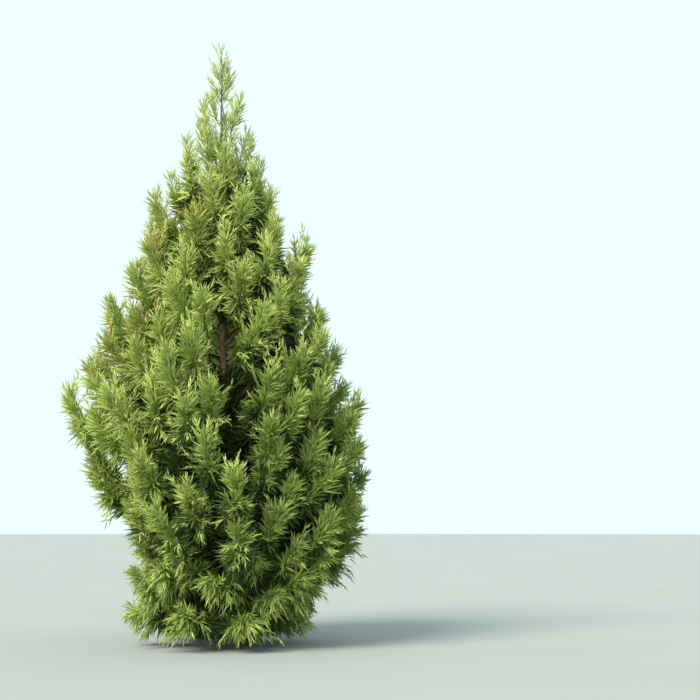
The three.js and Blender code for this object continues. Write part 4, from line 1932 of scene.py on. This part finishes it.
    def tones(
        self,
        plume: Plume,
        shoots: Shoots,
        share: Array,
        t: Array,
        luck: Array,
        rng: np.random.Generator,
    ) -> Array:
        """Deals each shoot its tone: fresher near tips, with painted light high and left, painted shade
        low.

        Args:
            plume: The plume.
            shoots: Its shoots.
            share: Where each one's branchlet leaves the plume's axis.
            t: Where it stands on its branchlet.
            luck: How much fresher than usual its branchlet is.
            rng: Where its chances come from.

        Returns:
            Each shoot's material slot.
        """
        habit = self.colouring
        height = float(plume.axis.tip[2])
        # Towards the plume's tip and the branchlet's end the shoots are younger, and they also get
        # painted light there and painted shade at the feet
        fresh_and_lit = habit.usual + habit.axis_gain * share + habit.end_gain * t + luck
        fresh_and_lit = fresh_and_lit + rng.normal(0, habit.shoot_play, len(shoots))
        fresh_and_lit = fresh_and_lit + habit.plume_play * swing(plume.index, 11)
        # Painted shade low down, and painted light up high and on the crown's left side, towards the key
        # lamp
        fresh_and_lit = fresh_and_lit - habit.low_loss * (1 - smooth_step(height, *habit.low_heights))
        fresh_and_lit = fresh_and_lit + habit.high_gain * smooth_step(height, *habit.high_heights)
        sun = habit.sun_gain * self.sunward(plume) * smooth_step(height, *habit.sun_heights)
        fresh_and_lit = fresh_and_lit + sun - habit.spire_loss * plume.spire
        ladder = np.array([tone.slot for tone in SHOOT_TONES])
        tone = ladder[np.searchsorted(habit.steps, fresh_and_lit)]
        offset = self.skeleton.crown.trunk.offset(shoots.root)
        turn = np.arctan2(offset[:, 1], offset[:, 0])
        patches = sum(patch.at(turn, shoots.root[:, 2]) for patch in habit.bronze_patches)
        tone[rng.uniform(size=len(tone)) < habit.bronzed + patches] = SprayTone.BRONZE.slot
        return tone

    def sprays_along(
        self,
        line: Bend,
        group: SprayGroup,
        amount: float,
        size: float,
        tones: dict[SprayTone, float],
        rng: np.random.Generator,
    ) -> Shoots:
        """Coarse sprays that leave a line to all sides.

        Args:
            line: The stem, twig or axis that they grow on.
            group: How many they are, and how they stand.
            amount: How many there are, as a share of the usual count.
            size: How large they are, as a multiple of the usual scale.
            tones: Their tones and how much of each there is.
            rng: Where their chances come from.

        Returns:
            The sprays.
        """
        places = group.places(amount, rng)
        count = len(places)
        along = line.headings(places)
        around = rng.uniform(0, 2 * np.pi, count)
        angle = rng.uniform(*group.lean, count)
        least, most = group.scale
        scale = rng.uniform(least * size, most * size, count)
        slots = np.array([tone.slot for tone in tones])
        share = np.array(list(tones.values()))
        return Shoots(
            root=line.points(places),
            heading=unit(leaning(along, around, angle)),
            bend=along * self.inner.curve * scale[:, None] - UP * self.inner.sag,
            stretch=scale,
            girth=np.sqrt(scale),
            roll=rng.uniform(0, 2 * np.pi, count),
            tone=rng.choice(slots, count, p=share / share.sum()),
        )

    def inner_sprays(self, plume: Plume, rng: np.random.Generator) -> Shoots:
        """The coarse sprays inside a plume, along its twig and round its foot.

        Args:
            plume: The plume.
            rng: Where its chances come from.

        Returns:
            The sprays, few of them in the open top of the spire.
        """
        height = plume.axis.tip[2]
        amount = float(1 - smooth_step(height, *self.habit.plume_thinning))
        # Their tones are painted shade, lightened as painted light up high and, lower down, on the left
        # side
        sun = self.sunward(plume) * smooth_step(height, *self.colouring.inner_sun_heights)
        lit = smooth_step(height, *self.colouring.lit_heights) + sun
        lit = float(np.clip(lit, 0.0, 1.0))
        size = plume.spread / self.inner.length
        shaded = tone_shares(PLUME_TONES, lit)
        sprays = [self.sprays_along(plume.axis, self.closing.on_plume, amount, size, shaded, rng)]
        if plume.twig and amount > 0:
            amount *= self.shut_in_share(height)
            dark = tone_shares(DEPTH_TONES, lit)
            for line, group in (
                (plume.twig, self.closing.on_twig),
                (plume.axis, self.closing.round_plume_foot),
            ):
                sprays.append(self.sprays_along(line, group, amount, 1.0, dark, rng))
        return Shoots.joined(sprays)

    def stem_sprays(self, limb: Limb, rng: np.random.Generator) -> Shoots:
        """The sprays round a limb and its foot, dark with painted shade, which close the crown behind
        its plumes.

        Args:
            limb: The limb.
            rng: Where the chances come from.

        Returns:
            The sprays that end well inside the crown.
        """
        height = limb.curve.tip[2]
        amount = float(1 - smooth_step(height, *self.habit.stem_thinning))
        amount *= self.shut_in_share(height)
        # Painted shade, lightened towards the top of the crown as painted light
        light = float(smooth_step(height, *self.colouring.lit_heights))
        dark = tone_shares(DEPTH_TONES, self.colouring.stem_light * light)
        on_stem = self.sprays_along(limb.curve, self.closing.on_stem, amount, 1.0, dark, rng)
        foot = limb.curve.root[2]
        ends = np.array([foot - self.closing.below_foot, foot + self.closing.above_foot])
        low, high = self.skeleton.crown.trunk.centre(ends)
        collar = Bend(low, (low + high) / 2, high)
        on_trunk = self.sprays_along(collar, self.closing.on_trunk, amount, 1.0, dark, rng)
        return self.well_inside(Shoots.joined([on_stem, on_trunk]))

    def trunk_shoots(self, limb: Limb, rng: np.random.Generator) -> tuple[Branchlets, Shoots]:
        """The branchlets on the slender upper trunk round the foot of a limb, and their shoots.

        They leave the trunk steeply, in a golden-angle spiral, and shorten towards the top.

        Args:
            limb: A limb of the upper trunk.
            rng: Where its chances come from.

        Returns:
            The branchlets and their shoots.
        """
        tuft = self.tuft
        foot = limb.curve.root[2]
        count = round(tuft.branchlets * self.top_share(foot + tuft.thinned_at))
        place = np.arange(count) + rng.uniform(-tuft.place_play, tuft.place_play, count)
        height = foot + tuft.rise * place / count - tuft.drop
        azimuth = np.arange(count) * GOLDEN_ANGLE + foot * tuft.turn
        heading = direction(azimuth, rng.uniform(*tuft.elevations, count))
        length = mix(*tuft.lengths, smooth_step(height, *tuft.length_heights))
        length = length * rng.uniform(*tuft.length_range, count)
        curl = UP * tuft.lift + rng.normal(0, tuft.curl_play, (count, 3))
        share = rng.uniform(*tuft.shares, count)
        root = self.skeleton.crown.trunk.centre(height)
        group = Branchlets(root, heading, curl, length, share)
        index = tuft.first_index + round(tuft.indexes_per_metre * foot)
        plume = Plume(index, tuft.length, tuft.spread, tuft.spire, limb.curve)
        return group, self.side_shoots(plume, group, rng)

    def has_room(self, plume: Plume, tips: Array) -> Array:
        """Which tips lie in the plume's own space.

        A tip has room while it is nearer to its own plume's axis than to any other's, give or take
        a slack. The plumes of one mass close up to one head, and a gap stays open between masses.

        Args:
            plume: The plume.
            tips: The ends of its branchlets or shoots.

        Returns:
            A mask of the tips.
        """
        habit = self.habit
        away = distances(tips, self.axes)
        own = self.axis_plume == plume.index
        mass = self.axis_mass == self.axis_mass[own][0]
        nearest_own = away[:, own].min(axis=1)
        nearest_beside = away[:, ~own].min(axis=1)
        nearest_mass = away[:, ~mass].min(axis=1)
        merged = float(smooth_step(plume.axis.tip[2], *habit.merging_heights))
        gap = mix(habit.mass_gap, -habit.space_slack, merged)
        room = nearest_own < nearest_beside + habit.space_slack
        return room & (nearest_own < nearest_mass - gap)

    def well_inside(self, sprays: Shoots) -> Shoots:
        """The sprays that end well inside the crown's outline.

        Args:
            sprays: The sprays.

        Returns:
            Those whose tips lie a margin or more inside it.
        """
        crown = self.skeleton.crown
        tips = sprays.tips(self.inner.length)
        offset = crown.trunk.offset(tips)
        azimuth = np.arctan2(offset[:, 1], offset[:, 0])
        reach = crown.reach(azimuth, tips[:, 2]) - self.inner_margin
        return sprays.kept(np.hypot(offset[:, 0], offset[:, 1]) < reach)

    def in_box(self, shoots: Shoots, length: float) -> Shoots:
        """The shoots that stand no further than the overhang beyond the CAD model's box.

        Args:
            shoots: The shoots or sprays.
            length: Their pattern's length.

        Returns:
            Those that stay.
        """
        tips = shoots.tips(length)
        low, high = (np.array(corner) for corner in cad_box)
        inside = (tips > low - self.box_overhang) & (tips < high + self.box_overhang)
        return shoots.kept(inside.all(axis=1))

    def wood(self, limb: Limb, lets: list[Branchlets]) -> Surface:
        """The stem, twigs, plume axes and branchlets of one mass, as tapering tubes.

        Args:
            limb: The limb that carries the mass.
            lets: The branchlets of each of its plumes.

        Returns:
            Points and triangles.
        """
        shares = np.linspace(limb.stem_from, 1.0, self.stem_rings)
        first = limb.radius if limb.is_leader else KNEE_RADIUS
        stem = np.linspace(first, self.stem_tip_radius, self.stem_rings)
        radii = np.repeat(stem[None, :, None], self.stem_sides, axis=2)
        parts = [sweep(limb.curve.points(shares)[None], radii)]
        for plume in limb.plumes:
            foot, neck = self.twig_radii
            taper = np.linspace(neck, self.plume_tip_radius, self.plume_rings)
            line = plume.axis.chain(self.plume_rings - 1)
            if plume.twig:
                line = np.concatenate((plume.twig.chain(self.twig_rings - 1)[:-1], line))
                taper = np.concatenate((np.linspace(foot, neck, self.twig_rings)[:-1], taper))
            radii = np.repeat(taper[None, :, None], self.twig_sides, axis=2)
            parts.append(sweep(line[None], radii))
        for group in lets:
            t = np.broadcast_to(np.array([0.0, self.branchlet_end]), (len(group.length), 2))
            taper = mix(*self.branchlet_radii, t / self.branchlet_end)[..., None]
            radii = np.broadcast_to(taper, (*t.shape, self.branchlet_sides))
            parts.append(sweep(group.points(t), radii))
        return join_surfaces(parts)

    def grow(self, limb: Limb) -> tuple[Shoots, Shoots, list[Branchlets]]:
        """Grows what one limb carries.

        Args:
            limb: The limb.

        Returns:
            Its leafy shoots, its coarse sprays, and the branchlets of each of its plumes.
        """
        outer, lets = [], []
        rng = np.random.default_rng(round(self.mass_seeds_per_metre * limb.curve.tip[2]))
        inner = [self.stem_sprays(limb, rng)]
        if not limb.on_bough:
            group, shoots = self.trunk_shoots(limb, rng)
            outer.append(shoots)
            lets.append(group)
        for plume in limb.plumes:
            rng = np.random.default_rng(self.plume_seed + plume.index)
            group = self.branchlets(plume, rng)
            ends = group.points(np.full((len(group.length), 1), self.branchlet_end))[:, 0]
            group = group.kept(self.has_room(plume, ends))
            shoots = self.side_shoots(plume, group, rng)
            outer.append(shoots.kept(self.has_room(plume, shoots.tips(self.shoot.length))))
            inner.append(self.inner_sprays(plume, rng))
            lets.append(group)
        return Shoots.joined(outer), Shoots.joined(inner), lets

    def build(
        self, limb: Limb, needles: list[bpy.types.Material], twig_bark: bpy.types.Material
    ) -> int:
        """Makes one mass: its needled sprays and its twigs.

        Args:
            limb: The limb that carries the mass.
            needles: The material of each spray tone.
            twig_bark: The material of the twigs.

        Returns:
            How many triangles the mass has.
        """
        shoots, sprays, lets = self.grow(limb)
        shoots = self.parting.cleared(shoots, self.shoot.length, 0.0)
        shoots = self.in_box(shoots, self.shoot.length)
        fine = shoots.surface(self.shoot.solid(), self.shoot.length, self.ground_gap)
        swing_out = self.parting.swing * self.inner.length * np.maximum(sprays.stretch - 1, 0)
        margin = self.parting.margin + swing_out
        sprays = self.parting.cleared(sprays, self.inner.length, margin)
        sprays = self.in_box(sprays, self.inner.length)
        coarse = sprays.surface(self.inner.solid(), self.inner.length, self.ground_gap)
        points, triangles = join_surfaces([fine[:2], coarse[:2]])
        slots = np.concatenate((fine[2], coarse[2]))
        leaves = make_piece(f"{limb.name}_sprays", points, triangles, needles, slots)
        finish_piece(leaves, "foliage", limb.name)
        twigs = make_piece(f"{limb.name}_twigs", *self.wood(limb, lets), [twig_bark], smooth=True)
        finish_piece(twigs, "bark", limb.name)
        return len(triangles) + len(twigs.data.polygons)


@dataclass(frozen=True)
class Studio:
    """The pale floor, the soft light and the camera at the photograph's angle."""

    picture: int = 700
    focal_px: float = 1300.0
    sensor_mm: float = 36.0
    eye: tuple[float, float, float] = (1.126, -15.1, 1.41)
    tilt: float = math.radians(7.45)
    floor_radius: float = 120.0
    floor_sides: int = 96
    backdrop: str = "#c9d9dc"
    backdrop_strength: float = 1.5
    key_from: tuple[float, float, float] = (-0.75, -0.95, 1.1)
    key_strength: float = 5.3
    key_softness: float = math.radians(30)
    key_colour: str = "#fff8e8"
    fill_from: tuple[float, float, float] = (-0.45, -1.0, 0.45)
    fill_strength: float = 1.5
    fill_softness: float = math.radians(80)
    fill_colour: str = "#f2fbff"

    def camera(self) -> None:
        """A level-headed camera, tilted up a little, with the photograph's field of view."""
        data = bpy.data.cameras.new("photo_camera")
        data.sensor_width = self.sensor_mm
        data.lens = self.focal_px * self.sensor_mm / self.picture
        data.clip_end = 500.0
        camera = bpy.data.objects.new("photo_camera", data)
        camera.location = self.eye
        camera.rotation_euler = (math.pi / 2 + self.tilt, 0.0, 0.0)
        bpy.context.scene.collection.objects.link(camera)
        bpy.context.scene.camera = camera

    def lamp(
        self,
        name: str,
        source: tuple[float, float, float],
        strength: float,
        softness: float,
        colour: str,
    ) -> None:
        """Adds a broad, far lamp.

        Args:
            name: The lamp's name.
            source: The direction that its light comes from.
            strength: Its strength, in watts per square metre.
            softness: How wide it looks from the tree, as an angle in radians.
            colour: Its colour, as sRGB hex.
        """
        data = bpy.data.lights.new(name, "SUN")
        data.energy = strength
        data.angle = softness
        data.color = linear_rgb(colour)[:3]
        lamp = bpy.data.objects.new(name, data)
        x, y, z = source
        lamp.rotation_euler = (math.atan2(math.hypot(x, y), z), 0.0, math.atan2(x, -y))
        bpy.context.scene.collection.objects.link(lamp)

    def light(self) -> None:
        """A soft key from the upper left, a broad weak fill from the front, and a pale backdrop."""
        self.lamp("soft_key", self.key_from, self.key_strength, self.key_softness, self.key_colour)
        self.lamp(
            "soft_fill", self.fill_from, self.fill_strength, self.fill_softness, self.fill_colour
        )
        world = bpy.data.worlds.new("studio_backdrop")
        world.use_nodes = True
        world.node_tree.nodes.clear()
        shade = add_node(
            world.node_tree,
            "ShaderNodeBackground",
            {"Color": linear_rgb(self.backdrop), "Strength": self.backdrop_strength},
        )
        add_node(
            world.node_tree,
            "ShaderNodeOutputWorld",
            links={"Surface": shade.outputs["Background"]},
        )
        bpy.context.scene.world = world

    def floor(self) -> None:
        """A wide round floor at ground level."""
        angle = np.arange(self.floor_sides) * 2 * np.pi / self.floor_sides
        rim = direction(angle) * self.floor_radius
        points = np.concatenate((np.zeros((1, 3)), rim))
        near = np.arange(self.floor_sides) + 1
        triangles = np.stack((np.zeros_like(near), near, near % self.floor_sides + 1), axis=1)
        floor = make_piece("studio_floor", points, triangles, [FloorFinish().build()])

    def build(self) -> None:
        """Sets up floor, light and camera."""
        self.floor()
        self.light()
        self.camera()
        bpy.context.scene.view_settings.view_transform = "Standard"


def main() -> None:
    """Builds the tree and the studio."""
    logging.basicConfig(level=logging.INFO, format="%(name)s %(message)s")
    trunk_form = TrunkForm()
    skeleton = Skeleton(CrownForm(trunk_form))
    limbs = skeleton.grow()
    LOG.info("%d limbs, %d plumes", len(limbs), sum(len(limb.plumes) for limb in limbs))
    bark = BarkFinish(
        "cedar_bark_fibrous",
        furrow="#3b2a20",
        strip="#7a5a44",
        weathered="#867a6c",
    ).build()
    Trunk(trunk_form).build(bark)
    boughs = [limb for limb in limbs if limb.on_bough]
    for number, limb in enumerate(boughs, start=1):
        Bough(limb, number).build(trunk_form, bark)
    needles = [NeedleFinish(tone).build() for tone in SprayTone]
    twig_bark = BarkFinish(
        "cedar_twig_bark",
        furrow="#3a3320",
        strip="#6b5a38",
        weathered="#6f7040",
        fibre_mm=5.0,
    ).build()
    foliage = Foliage(skeleton, limbs)
    total = sum(foliage.build(limb, needles, twig_bark) for limb in limbs)
    LOG.info("all foliage: %d triangles", total)
    Studio().build()


if __name__ == "__main__":
    main()
